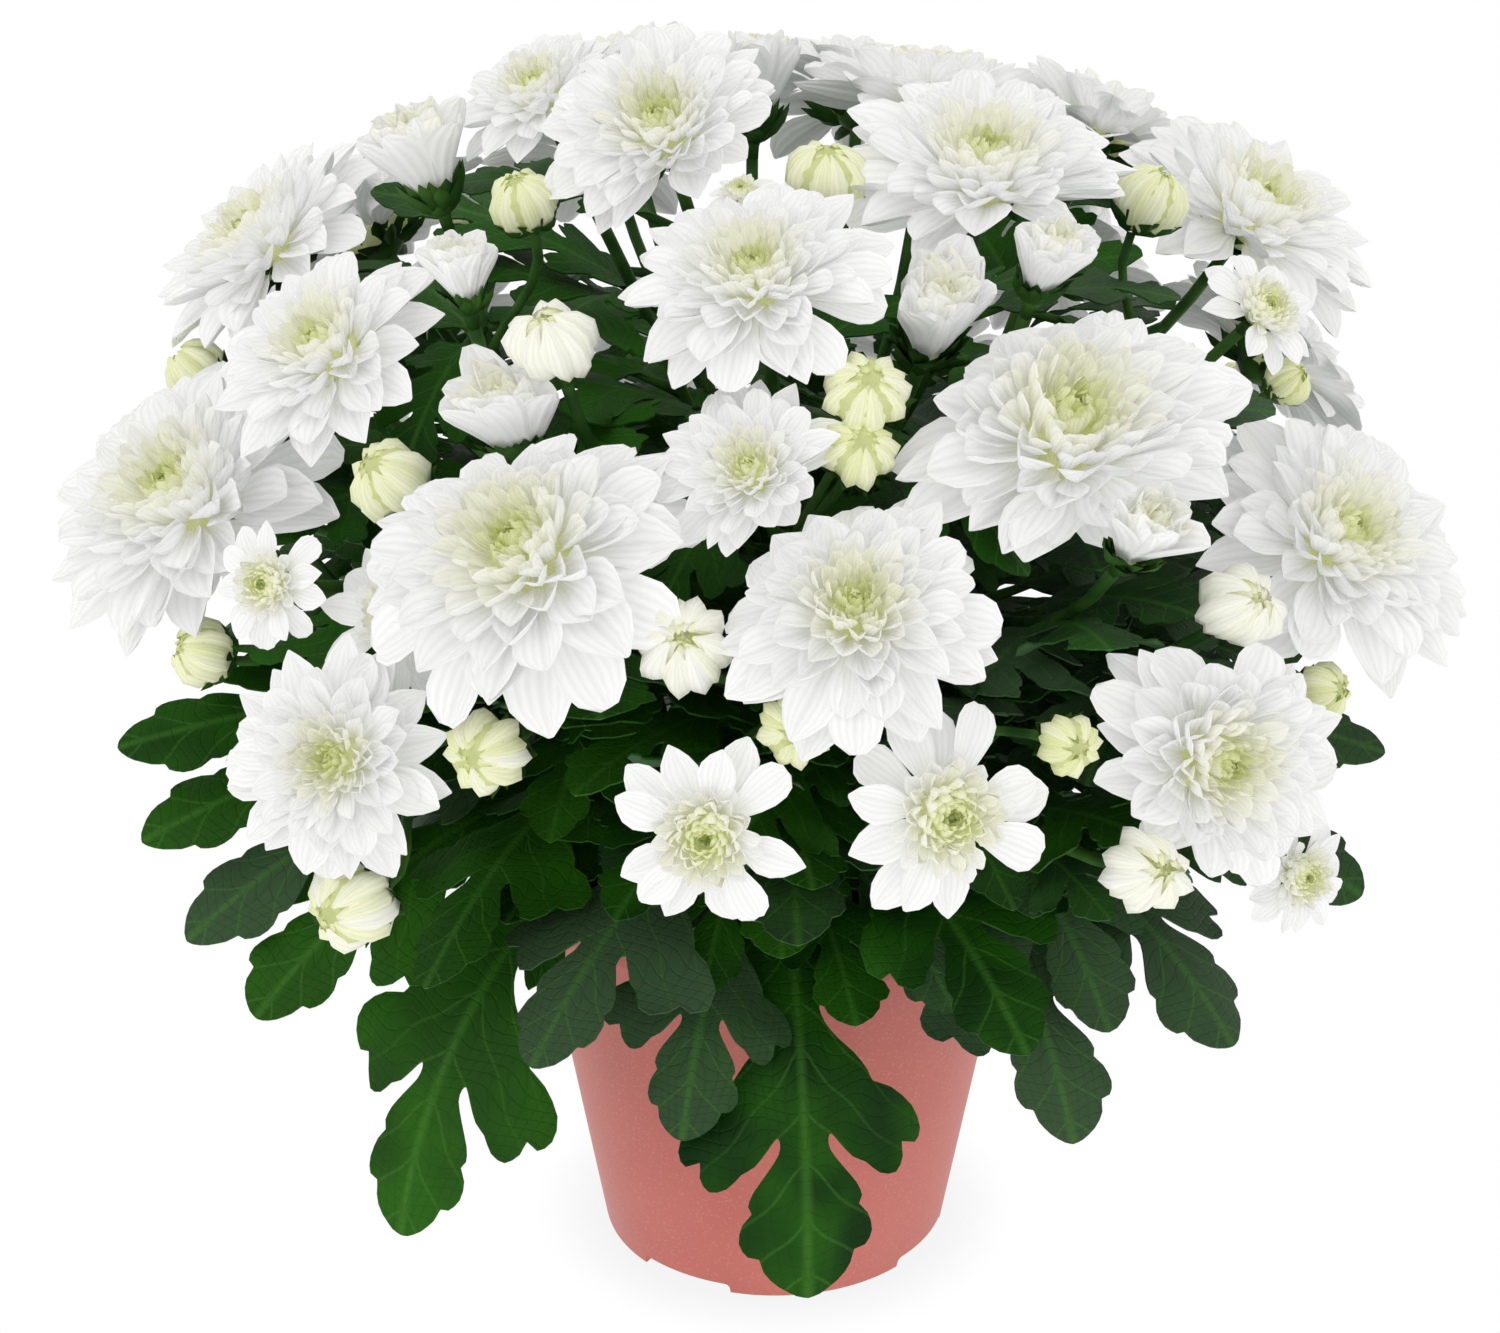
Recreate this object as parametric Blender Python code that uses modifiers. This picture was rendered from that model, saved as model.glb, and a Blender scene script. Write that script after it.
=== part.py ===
"""A pot chrysanthemum: a dome of white double flowers over lobed leaves, in a round
tapered plastic pot. Metres, +Z up. The origin is the centre of the pot's foot on the
floor, and the front of the plant faces -Y. A bearing is measured from the front
towards +X, and a rise from the horizontal upwards, both in degrees."""

import math
import random

import bpy
import bmesh
from mathutils import Matrix, Vector
from mathutils.bvhtree import BVHTree

MM = 0.001
GAP = 0.3 * MM  # between pieces that touch

# The pot: a 12 cm nursery pot.
POT_HEIGHT = 108 * MM
POT_RIM_R = 60 * MM
POT_BAND_HEIGHT = 15 * MM  # the upright band at the top
POT_NECK_R = 57.8 * MM  # just below the band
POT_FOOT_R = 41.8 * MM
POT_WALL = 1.4 * MM
POT_FLOOR_Z = 3 * MM  # underside of the floor, above the feet
POT_STEPS = 36
NOTCH_BEARINGS = (-31.5, 61.5, 148.5, 238.5)
NOTCH_WIDTH = 24 * MM
NOTCH_HEIGHT = 2.6 * MM
DRAIN_R = 3.5 * MM
DRAIN_REACH = 26 * MM
DRAINS = 5

# The soil and the stems that stand in it.
SOIL_EDGE_Z = 90 * MM
SOIL_CROWN_Z = 94 * MM
STEM_R = 3.0 * MM
HOLE_R = 3.8 * MM
HOLE_DEPTH = 20 * MM
ROOT_OFFSET = 1.1 * MM  # of a joint, from the middle of the stem that bears it
SPRAY_R = 1.4 * MM  # a flower's own stem
BUD_STEM_R = 1.1 * MM
STEM_REACH = 26 * MM  # where the outer stems leave the soil
FORK_REACH = 40 * MM  # where they branch
FORK_Z = 152 * MM
CENTRE_REACH = 66 * MM  # flowers nearer the middle grow from the middle stem
STEM_BEARINGS = (0, 60, 120, 180, 240, 300)
STEM_NAMES = ("front", "front_right", "back_right", "back", "back_left", "front_left")

# Leaves.
LEAF_THICK = 1.6 * MM
STALK_FACES = 9  # of a leaf, at its joint
PETIOLE_R = 1.3 * MM
# Along the leaf, its half width there and how far its edge sweeps forward.
LEAF_OUTLINE = (
    (0.00, 0.00, 0.00),
    (0.20, 0.00, 0.00),
    (0.36, 0.60, 0.10),
    (0.43, 0.22, 0.00),
    (0.64, 1.00, 0.12),
    (0.71, 0.32, 0.00),
    (0.86, 0.52, 0.06),
    (1.00, 0.00, 0.00),
)

# A flower head's rings from the back to the eye: reach and height of the petal tips
# and of the notches between them, as parts of the head's radius. The eye is at 0.
OPEN_RINGS = (
    ("ring", 0.17, -0.50, 0),
    ("petals", 1.00, -0.22, 0.60, -0.30, 0),
    ("ring", 0.55, -0.18, 1),
    ("petals", 0.78, -0.08, 0.52, -0.14, 1),
    ("ring", 0.42, -0.10, 0),
    ("petals", 0.50, 0.00, 0.35, -0.07, 0),
    ("ring", 0.18, -0.06, 1),
)
CUP_RINGS = (
    ("ring", 0.24, -1.60, 0),
    ("petals", 1.00, -0.16, 0.74, -0.85, 0),
    ("ring", 0.62, -0.62, 1),
    ("petals", 0.62, 0.00, 0.44, -0.30, 1),
    ("ring", 0.22, -0.42, 0),
)
BUD_RINGS = (
    ("ring", 0.36, -1.75, 0),
    ("ring", 0.98, -1.05, 1),
    ("petals", 0.66, -0.05, 0.62, -0.45, 0),
    ("ring", 0.24, -0.30, 1),
)
STAGES = {
    "full": (OPEN_RINGS, 10, True),
    "open": (OPEN_RINGS, 9, False),
    "small": (OPEN_RINGS, 8, False),
    "cup": (CUP_RINGS, 8, False),
    "opening": (BUD_RINGS, 6, False),
}

# Each flower: where its eye is in mm, its radius in mm, the bearing and rise it
# faces, and how far open it is.
FLOWERS = {
    "bloom_left_top": ((-119, 8, 251), 32, -75, 52, "open"),
    "bloom_left_cup": ((-76, -28, 282), 13, -75, 74, "cup"),
    "bloom_back_left_top": ((-52, -18, 289), 20, -45, 62, "small"),
    "bloom_crown_left": ((-25, -49, 290), 27, -15, 50, "full"),
    "bloom_crown_small": ((-8, -60, 277), 8, -10, 68, "small"),
    "bloom_crown_front": ((-6, -87, 271), 27, -15, 60, "full"),
    "bloom_crown_back": ((34, 33, 281), 33, 160, 78, "open"),
    "bloom_crown_right": ((42, -49, 284), 32, 10, 68, "full"),
    "bloom_right_top": ((110, 12, 257), 33, 55, 58, "open"),
    "bloom_right_small": ((102, -47, 249), 15, 42, 46, "small"),
    "bloom_inner_cup": ((55, -71, 270), 11, 40, 66, "cup"),
    "bloom_front_cup": ((33, -79, 262), 14, 20, 56, "cup"),
    "bloom_right_great": ((58, -97, 246), 42, 20, 52, "full"),
    "bloom_left_upper": ((-96, -57, 246), 27, -42, 50, "open"),
    "bloom_left_white_bud": ((-64, -74, 268), 9, -40, 74, "cup"),
    "bloom_left_green_bud": ((-46, -93, 261), 9, -26, 66, "opening"),
    "bloom_left_great": ((-132, -43, 210), 38, -48, 50, "full"),
    "bloom_left_inner_cup": ((-55, -92, 247), 14, -30, 66, "cup"),
    "bloom_front_left": ((-53, -116, 226), 38, -32, 46, "full"),
    "bloom_front_middle": ((-7, -112, 238), 19, -15, 44, "small"),
    "bloom_front": ((14, -131, 219), 29, 3, 48, "full"),
    "bloom_right_side": ((120, -67, 208), 33, 38, 46, "full"),
    "bloom_right_opening": ((71, -118, 230), 11, 30, 52, "cup"),
    "bloom_left_button": ((-104, -91, 204), 14, -28, 22, "small"),
    "bloom_left_behind": ((-76, -94, 200), 18, -15, 42, "small"),
    "bloom_left_low": ((-89, -117, 178), 24, -16, 26, "full"),
    "bloom_front_button": ((-15, -148, 175), 20, -8, 8, "small"),
    "bloom_front_star": ((33, -144, 178), 22, 18, 16, "full"),
    "bloom_right_low": ((89, -118, 177), 31, 26, 14, "full"),
    "bloom_right_low_bud": ((74, -133, 162), 9, 20, 24, "opening"),
    "bloom_right_under": ((109, -99, 142), 14, 33, 12, "small"),
    "bloom_right_bud": ((94, -104, 207), 9, 36, 42, "opening"),
    "bloom_front_bud": ((-19, -133, 211), 9, -6, 38, "opening"),
    "bloom_back_upper_left": ((-38, 52, 279), 30, -145, 68, "open"),
    "bloom_back_upper": ((22, 96, 264), 31, 168, 54, "open"),
    "bloom_back_upper_right": ((80, 62, 264), 30, 128, 56, "open"),
    "bloom_back_left": ((-44, 110, 247), 32, -158, 44, "open"),
    "bloom_left_back": ((-102, 68, 238), 32, -124, 46, "open"),
    "bloom_back_right": ((74, 114, 217), 32, 147, 36, "open"),
    "bloom_right_back": ((126, 64, 207), 31, 117, 38, "open"),
    "bloom_right_behind": ((147, 8, 176), 28, 80, 32, "open"),
    "bloom_left_behind_low": ((-140, 22, 188), 25, -98, 28, "open"),
    "bloom_back_left_low": ((-96, 112, 194), 30, -139, 28, "open"),
    "bloom_back_low": ((-22, 143, 186), 30, -172, 26, "open"),
    "bloom_back_right_low": ((44, 141, 176), 27, 163, 22, "open"),
    "bloom_right_back_low": ((106, 108, 166), 28, 135, 20, "open"),
    "bloom_left_back_low": ((-143, 62, 158), 25, -114, 16, "open"),
    "bloom_back_button": ((-62, 134, 152), 18, -156, 14, "small"),
    "bloom_back_cup": ((-5, 58, 278), 14, 175, 78, "cup"),
}

# Closed buds: where the tip is in mm, the radius in mm and the bearing and rise.
BUDS = (
    ((-53, -47, 275), 7, -40, 66),
    ((11, -52, 284), 8, 15, 74),
    ((15, -106, 252), 8, 8, 46),
    ((-86, -80, 230), 8, -46, 46),
    ((3, -142, 195), 7, 4, 18),
    ((-60, -130, 184), 8, -24, 14),
    ((-91, -122, 145), 9, -36, 4),
    ((22, -114, 235), 7, 12, 44),
    ((117, -85, 180), 6, 52, 20),
    ((110, -44, 233), 5, 66, 40),
    ((-128, -2, 226), 7, -90, 46),
    ((-127, -68, 182), 7, -62, 26),
    ((52, -136, 182), 6, 22, 14),
    ((83, -14, 268), 8, 80, 64),
    ((58, 100, 246), 7, 150, 50),
    ((-78, 96, 232), 6, -140, 44),
    ((122, 94, 186), 6, 128, 28),
    ((-126, 94, 176), 6, -126, 24),
)

# Leaves seen one by one: the stem they grow from, the height of the joint in mm,
# bearing, rise, total bend down, length and half width in mm, and roll.
SHOWN_LEAVES = (
    ("front", 118, 5, -2, 86, 115, 27, 0),
    ("front", 121, -17, 4, 70, 86, 20, -14),
    ("front", 120, 23, 2, 72, 90, 20, 14),
    ("front_left", 118, -42, -4, 76, 122, 26, -6),
    ("front_left", 117, -25, 0, 74, 98, 19, -16),
    ("front_left", 147, -74, 14, 26, 114, 20, 4),
    ("front_left", 143, -70, 10, 34, 114, 18, 0),
    ("front_left", 138, -64, 8, 46, 114, 21, 0),
    ("front_left", 131, -56, 6, 52, 110, 21, 0),
    ("front_right", 124, 25, 2, 66, 102, 23, 8),
    ("front_right", 127, 48, 8, 58, 104, 25, 8),
    ("front_right", 140, 66, 8, 40, 108, 21, -6),
    ("front_right", 150, 76, 10, 26, 102, 17, 0),
)
# The other leaves, in tiers up each stem: joint height in mm, rise, bend, length and
# half width in mm, and the bearings on each side of the stem's own.
LEAF_TIERS = (
    (120, 4, 70, 92, 22, (-24, 24)),
    (134, 8, 52, 98, 24, (-34, 34)),
    (148, 16, 34, 96, 23, (2,)),
    (150, 44, 46, 92, 23, (-30, 28)),
)
# Upper leaves on the flower stems: how far up, length and half width in mm.
UPPER_LEAVES = ((0.45, 58, 15), (0.62, 50, 13))


def aim(bearing, rise):
    """The unit vector at a bearing and a rise in degrees."""
    b = math.radians(bearing)
    r = math.radians(rise)
    return Vector((math.sin(b) * math.cos(r), -math.cos(b) * math.cos(r), math.sin(r)))


def plastic(name, colour, roughness):
    """A plain material of one colour."""
    material = bpy.data.materials.new(name)
    material.use_nodes = True
    shader = material.node_tree.nodes["Principled BSDF"]
    shader.inputs["Base Color"].default_value = (*colour, 1)
    shader.inputs["Roughness"].default_value = roughness
    material.diffuse_color = (*colour, 1)
    return material


def add_mesh(name, verts, faces, collection):
    """A mesh object with its faces turned outwards."""
    mesh = bpy.data.meshes.new(name)
    mesh.from_pydata([tuple(v) for v in verts], [], faces)
    bm = bmesh.new()
    bm.from_mesh(mesh)
    bmesh.ops.recalc_face_normals(bm, faces=bm.faces)
    bm.to_mesh(mesh)
    bm.free()
    item = bpy.data.objects.new(name, mesh)
    collection.objects.link(item)
    return item


def dress(item, material):
    """Gives an object its material and smooth shading between sharp edges."""
    item.data.materials.clear()
    item.data.materials.append(material)
    item.data.shade_smooth()
    item.data.set_sharp_from_angle(angle=math.radians(35))


def turned(name, profile, steps, collection):
    """A solid of revolution: the profile turned about Z."""
    mesh = bpy.data.meshes.new(name)
    edges = [(i, i + 1) for i in range(len(profile) - 1)]
    mesh.from_pydata([(r, 0, z) for r, z in profile], edges, [])
    item = bpy.data.objects.new(name, mesh)
    collection.objects.link(item)
    screw = item.modifiers.new("Turn", "SCREW")
    screw.steps = steps
    screw.render_steps = steps
    screw.use_merge_vertices = True
    screw.merge_threshold = 0.00001
    return item


def apply_modifiers(item):
    """Keeps the evaluated mesh and drops the modifiers."""
    graph = bpy.context.evaluated_depsgraph_get()
    mesh = bpy.data.meshes.new_from_object(item.evaluated_get(graph))
    item.modifiers.clear()
    item.data = mesh


def cut(item, cutter):
    """Takes the cutter's shape out of an object."""
    cutter.hide_render = True
    cutter.display_type = "WIRE"
    boolean = item.modifiers.new("Cut", "BOOLEAN")
    boolean.operation = "DIFFERENCE"
    boolean.solver = "EXACT"
    boolean.object = cutter


def tube(name, points, radii, collection):
    """A stem: a curve with round section, as a closed mesh."""
    curve = bpy.data.curves.new(name, "CURVE")
    curve.dimensions = "3D"
    curve.bevel_depth = 1.0
    curve.bevel_resolution = 0
    curve.use_fill_caps = True
    spline = curve.splines.new("POLY")
    spline.points.add(len(points) - 1)
    for place, point, radius in zip(spline.points, points, radii):
        place.co = (*point, 1)
        place.radius = radius
    guide = bpy.data.objects.new(name, curve)
    collection.objects.link(guide)
    graph = bpy.context.evaluated_depsgraph_get()
    mesh = bpy.data.meshes.new_from_object(guide.evaluated_get(graph))
    bpy.data.objects.remove(guide)
    bm = bmesh.new()
    bm.from_mesh(mesh)
    bmesh.ops.remove_doubles(bm, verts=bm.verts, dist=0.00001)
    bmesh.ops.recalc_face_normals(bm, faces=bm.faces)
    bm.to_mesh(mesh)
    bm.free()
    item = bpy.data.objects.new(name, mesh)
    collection.objects.link(item)
    return item


def bezier(a, b, c, d, count):
    """Points along a cubic from a to d."""
    found = []
    for i in range(count):
        t = i / (count - 1)
        s = 1 - t
        found.append(a * s**3 + b * (3 * s * s * t) + c * (3 * s * t * t) + d * t**3)
    return found


# Flower heads.


def ring_points(ring, petals, shoulders, dice):
    """One ring of a head as a list of (angle, reach, height)."""
    pitch = 2 * math.pi / petals
    shift = ring[-1] * pitch / 2
    found = []
    if ring[0] == "ring":
        for i in range(petals):
            found.append((i * pitch + shift, ring[1], ring[2]))
        return found
    tip, tip_z, notch, notch_z = ring[1:5]
    for i in range(petals):
        middle = i * pitch + shift + dice.uniform(-0.10, 0.10) * pitch
        reach = tip * dice.uniform(0.91, 1.0)
        height = tip_z + 0.06 * dice.uniform(-1, 1) * tip
        if shoulders:
            side = 0.30 * pitch
            low = height + 0.03
            found.append((middle - side, 0.82 * reach, low))
            found.append((middle, reach, height))
            found.append((middle + side, 0.82 * reach, low))
        else:
            found.append((middle, reach, height))
        found.append(((i + 0.5) * pitch + shift, notch, notch_z))
    return found


def zip_rings(low, high):
    """Triangles between two rings given as (first index, angles)."""
    start_a, angles_a = low
    start_b, angles_b = high
    faces = []
    i = 0
    j = 0
    shift = min(range(len(angles_b)), key=lambda k: abs(angles_b[k] - angles_a[0]))
    full = 2 * math.pi

    def angle_b(k):
        k += shift
        return angles_b[k % len(angles_b)] + full * (k // len(angles_b))

    def angle_a(k):
        return angles_a[k % len(angles_a)] + full * (k // len(angles_a))

    while i < len(angles_a) or j < len(angles_b):
        a = start_a + i % len(angles_a)
        b = start_b + (j + shift) % len(angles_b)
        step_a = i < len(angles_a) and (
            j >= len(angles_b) or angle_a(i + 1) + angle_a(i) <= angle_b(j + 1) + angle_b(j)
        )
        if step_a:
            faces.append((a, start_a + (i + 1) % len(angles_a), b))
            i += 1
        else:
            faces.append((a, start_b + (j + 1 + shift) % len(angles_b), b))
            j += 1
    return faces


def head_shape(radius, stage, dice):
    """Vertices and faces of one flower head, its eye at the origin, facing +Z."""
    rings, petals, shoulders = STAGES[stage]
    verts = [Vector((0, 0, rings[0][2] * radius))]
    faces = []
    before = None
    for ring in rings:
        wide = shoulders and ring is rings[1]
        points = ring_points(ring, petals, wide, dice)
        first = len(verts)
        for angle, reach, height in points:
            out = reach * radius
            verts.append(Vector((out * math.cos(angle), out * math.sin(angle), height * radius)))
        angles = [point[0] for point in points]
        if before is None:
            for i in range(len(points)):
                faces.append((0, first + (i + 1) % len(points), first + i))
        else:
            faces += zip_rings(before, (first, angles))
        before = (first, angles)
    first, angles = before
    verts.append(Vector((0, 0, (rings[-1][2] - 0.03) * radius)))
    for i in range(len(angles)):
        faces.append((first + i, first + (i + 1) % len(angles), len(verts) - 1))
    return verts, faces


def make_heads():
    """Every flower head as world points, pressed back from its neighbours."""
    heads = {}
    for number, (name, flower) in enumerate(FLOWERS.items()):
        eye, radius, bearing, rise, stage = flower
        dice = random.Random(100 + number)
        axis = aim(bearing, rise)
        verts, faces = head_shape(radius * MM, stage, dice)
        turn = axis.to_track_quat("Z", "Y").to_matrix() @ Matrix.Rotation(dice.uniform(0, 6.28), 3, "Z")
        centre = Vector(eye) * MM
        verts = [turn @ v + centre for v in verts]
        middle = sum(verts, Vector()) / len(verts)
        heads[name] = {"verts": verts, "faces": faces, "axis": axis, "middle": middle}
    names = list(heads)
    for _ in range(4):
        met = 0
        for i, first in enumerate(names):
            for second in names[i + 1 :]:
                met += press_apart(heads[first], heads[second])
        if not met:
            break
    return heads


def tree_of(verts, faces, margin=0.0):
    """A search tree of a shape's faces."""
    return BVHTree.FromPolygons([tuple(v) for v in verts], faces, epsilon=margin)


def press_apart(one, two):
    """Presses two heads that cross back to the plane between them."""
    between = two["middle"] - one["middle"]
    distance = between.length
    if distance > 0.09:
        return 0
    tree = tree_of(one["verts"], one["faces"], GAP)
    if not tree.overlap(tree_of(two["verts"], two["faces"], GAP)):
        return 0
    way = between / distance
    reach_one = max((v - one["middle"]).dot(way) for v in one["verts"])
    reach_two = max((two["middle"] - v).dot(way) for v in two["verts"])
    if reach_one + reach_two <= distance - 2 * GAP:
        return 0
    share = (distance - 3 * GAP) / (reach_one + reach_two)
    press(one, way, reach_one, reach_one * share)
    press(two, -way, reach_two, reach_two * share)
    return 1


def press(head, way, reach, limit):
    """Squeezes the outer half of a head along one direction to end at a limit."""
    start = 0.4 * limit
    scale = (limit - start) / (reach - start)
    for v in head["verts"]:
        far = (v - head["middle"]).dot(way)
        if far > start:
            v += way * ((far - start) * (scale - 1))


# Stems, leaves and buds.


def leaf_shape(root, bearing, rise, bend, length, half_width, roll):
    """Vertices and faces of one lobed leaf with its stalk, arching over and down."""
    steps = 40
    point = Vector(root)
    line = [point.copy()]
    turns = []
    for i in range(steps):
        t = (i + 0.5) / steps
        turns.append(rise - bend * t)
        point += aim(bearing, turns[-1]) * (length / steps)
        line.append(point.copy())
    turns.append(turns[-1])

    def frame(t):
        where = min(max(t, 0), 1) * steps
        index = min(int(where), steps - 1)
        middle = line[index].lerp(line[index + 1], where - index)
        ahead = aim(bearing, turns[index])
        side = Vector((math.cos(math.radians(bearing)), math.sin(math.radians(bearing)), 0))
        side.rotate(Matrix.Rotation(math.radians(roll), 3, ahead))
        return middle, side, side.cross(ahead)

    verts = []
    faces = []
    for t, width, sweep in LEAF_OUTLINE[:-1]:
        middle, side, up = frame(t)
        out = max(width * half_width, PETIOLE_R)
        edge, edge_side, edge_up = frame(t + sweep)
        lift = 0.16 * out * edge_up if width else Vector()
        verts += [
            edge - edge_side * out + lift,
            middle + up * (0.0005 if width else 0.0009),
            edge + edge_side * out + lift,
            middle - up * (LEAF_THICK - 0.0005 if width else 0.0009),
        ]
    verts.append(frame(1.0)[0])
    rows = len(LEAF_OUTLINE) - 1
    faces.append((0, 1, 2, 3))
    for row in range(rows - 1):
        a = 4 * row
        for k in range(4):
            n = (k + 1) % 4
            faces.append((a + k, a + n, a + 4 + n))
            faces.append((a + k, a + 4 + n, a + 4 + k))
    last = 4 * (rows - 1)
    for k in range(4):
        faces.append((last + k, last + (k + 1) % 4, len(verts) - 1))
    return verts, faces


def is_clear(verts, faces, obstacles):
    """Whether a shape misses every obstacle."""
    tree = tree_of(verts, faces, 0.0005)
    return not any(tree.overlap(other) for other in obstacles)


def path_room(points, obstacles, room):
    """Whether a path keeps its distance from every obstacle."""
    for a, b in zip(points, points[1:]):
        for i in range(6):
            spot = a.lerp(b, i / 6)
            for other in obstacles:
                near = other.find_nearest(spot, room)
                if near[0] is not None:
                    return False
    return True


def stem_axis(bearing, reach):
    """The course of a main stem: points from the soil to its fork."""
    flat = aim(bearing, 0)
    foot = flat * reach
    fork = flat * (FORK_REACH if reach else 0)
    rows = (
        (0, SOIL_CROWN_Z - HOLE_DEPTH),
        (0, SOIL_CROWN_Z + 4 * MM),
        (0.45, 124 * MM),
        (1, FORK_Z),
    )
    return [foot.lerp(fork, share) + Vector((0, 0, z)) for share, z in rows]


def on_stem(axis, height):
    """The point of a main stem at a height."""
    for a, b in zip(axis, axis[1:]):
        if height <= b.z:
            return a.lerp(b, max(0, (height - a.z) / (b.z - a.z)))
    return axis[-1].copy()


def spray_path(start, end, axis, dice, blocked, room, count=4):
    """A way from a stem to a head that passes no other head."""
    length = (end - start).length
    for attempt in range(60):
        spread = 0.003 * attempt
        shift = Vector([dice.uniform(-spread, spread) for _ in range(3)])
        low = start + Vector((start.x, start.y, 0)) * 0.3 + Vector((0, 0, 0.35 * length)) + shift
        high = end - axis * (0.4 * length) + shift
        points = bezier(start, low, high, end, count)
        if path_room(points, blocked, room):
            return points
    return None


class Plant:
    """One main stem with all that grows on it, before it is joined."""

    def __init__(self, name, bearing, reach, collection):
        self.name = name
        self.bearing = bearing
        self.axis = stem_axis(bearing, reach)
        self.outer = reach > 0
        self.collection = collection
        self.pieces = []
        self.trees = []
        self.sprays = []
        radii = [STEM_R, STEM_R, STEM_R * 0.95, STEM_R * 0.8]
        self.add(tube(name, self.axis, radii, collection))

    def add(self, item):
        """Keeps a piece and its search tree."""
        faces = [tuple(face.vertices) for face in item.data.polygons]
        self.pieces.append(item)
        self.trees.append(tree_of([v.co for v in item.data.vertices], faces))


def grow_flower_stem(plant, flower, head, blocked):
    """A stem from the fork up to a flower, with the green cup under it."""
    dice = random.Random("spray " + flower)
    radius = FLOWERS[flower][1] * MM
    cup = radius * (0.26 if FLOWERS[flower][4] in ("cup", "opening") else 0.17)
    end = head["verts"][0] - head["axis"] * GAP * 1.5
    neck = end - head["axis"] * (0.16 * radius + 0.002)
    start = on_stem(plant.axis, dice.uniform(118, 150) * MM)
    start += Vector((end.x - start.x, end.y - start.y, 0)).normalized() * ROOT_OFFSET
    points = spray_path(start, neck, head["axis"], dice, blocked, 2.2 * MM)
    if points is None:
        print("no way to", flower)
        points = bezier(start, start.lerp(neck, 0.3), start.lerp(neck, 0.7), neck, 4)
    widths = [SPRAY_R * 1.2] + [SPRAY_R] * (len(points) - 1) + [max(cup * 1.4, 2.4 * MM)]
    plant.add(tube(flower + "_stem", points + [end], widths, plant.collection))
    plant.sprays.append(points)


def grow_bud(plant, number, blocked):
    """A closed bud on a side stem."""
    tip, radius, turn, rise = BUDS[number]
    dice = random.Random(300 + number)
    facing = aim(turn, rise)
    size = radius * MM
    for attempt in range(60):
        spread = 0.15 * attempt * MM
        end = Vector(tip) * MM + Vector([dice.uniform(-spread, spread) for _ in range(3)])
        top = [end - facing * (share * size) for share in (1.6, 0.7, 0.0)]
        if not path_room(top, blocked, 1.06 * size):
            continue
        base = end - facing * (2.1 * size)
        start = min(plant.sprays, key=lambda line: (line[2] - base).length)[2]
        points = spray_path(start, base, facing, dice, blocked, 1.8 * MM, 3)
        if points is None:
            continue
        widths = [BUD_STEM_R] * len(points) + [0.85 * size, 1.08 * size, 0.3 * size]
        plant.add(tube("bud", points + top, widths, plant.collection))
        return
    print("no room for bud", number)


def leaf_plan(plant):
    """The joint and shape of each leaf that a stem should bear."""
    dice = random.Random("leaves " + plant.name)
    plan = []
    for stem, height, way, *shape in SHOWN_LEAVES:
        if stem == plant.name:
            joint = on_stem(plant.axis, height * MM) + aim(way, 0) * ROOT_OFFSET
            plan.append((joint, way, *shape))
    tiers = LEAF_TIERS[1:] if plan else LEAF_TIERS
    if plant.outer:
        for height, *shape, ways in tiers:
            for way in ways:
                level = (height + dice.uniform(-4, 4)) * MM
                joint = on_stem(plant.axis, level) + aim(plant.bearing + way, 0) * ROOT_OFFSET
                plan.append((joint, plant.bearing + way, *shape, 0))
    else:
        for number, line in enumerate(plant.sprays[::2]):
            level, length, half_width = UPPER_LEAVES[number % len(UPPER_LEAVES)]
            joint = line[1].lerp(line[2], level)
            flat = math.degrees(math.atan2(joint.x, -joint.y)) + dice.uniform(-60, 60)
            plan.append((joint, flat, 22, 50, length, half_width, 0))
    return plan


def grow_leaves(plant, blocked):
    """The leaves of one stem, each turned a little until it is clear."""
    plan = leaf_plan(plant)
    placed = 0
    for number, (joint, way, rise, bend, length, half_width, roll) in enumerate(plan):
        dice = random.Random("leaf %s %d" % (plant.name, number))
        for spread in range(16):
            verts, faces = leaf_shape(
                joint,
                way + dice.uniform(-1, 1) * spread * 1.6,
                rise + dice.uniform(-1, 0.4) * spread * 2.0,
                bend + dice.uniform(-1, 1) * spread,
                length * MM * (1 - 0.02 * spread),
                half_width * MM * (1 - 0.02 * spread),
                roll + dice.uniform(-1, 1) * spread * 2.0,
            )
            blade = faces[STALK_FACES:]
            if is_clear(verts, faces, blocked) and is_clear(verts, blade, plant.trees):
                plant.add(add_mesh("leaf", verts, faces, plant.collection))
                placed += 1
                break
    print(plant.name, "leaves", placed, "of", len(plan))


def fill_hollows(item):
    """Drops the closed pockets that a union leaves between crossing stems."""
    bm = bmesh.new()
    bm.from_mesh(item.data)
    left = set(bm.faces)
    shells = []
    while left:
        shell = {left.pop()}
        edge_of = list(shell)
        while edge_of:
            for edge in edge_of.pop().edges:
                for face in edge.link_faces:
                    if face in left:
                        left.remove(face)
                        shell.add(face)
                        edge_of.append(face)
        shells.append(shell)
    shells.sort(key=len)
    for shell in shells[:-1]:
        print(item.name, "pocket of", len(shell), "faces")
        bmesh.ops.delete(bm, geom=list(shell), context="FACES")
    bm.to_mesh(item.data)
    bm.free()


def fuse(plant, material):
    """Joins the overlapping pieces of a stem into one solid with a Boolean union."""
    holder = bpy.data.collections.new(plant.name + "_pieces")
    base = plant.pieces[0]
    for piece in plant.pieces[1:]:
        move_to(piece, holder)
    boolean = base.modifiers.new("Join", "BOOLEAN")
    boolean.operation = "UNION"
    boolean.operand_type = "COLLECTION"
    boolean.collection = holder
    boolean.solver = "MANIFOLD"
    apply_modifiers(base)
    for piece in plant.pieces[1:]:
        bpy.data.objects.remove(piece)
    bpy.data.collections.remove(holder)
    fill_hollows(base)
    base.name = "leafy_stem_" + plant.name
    base.data.name = base.name
    dress(base, material)
    return base


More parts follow.
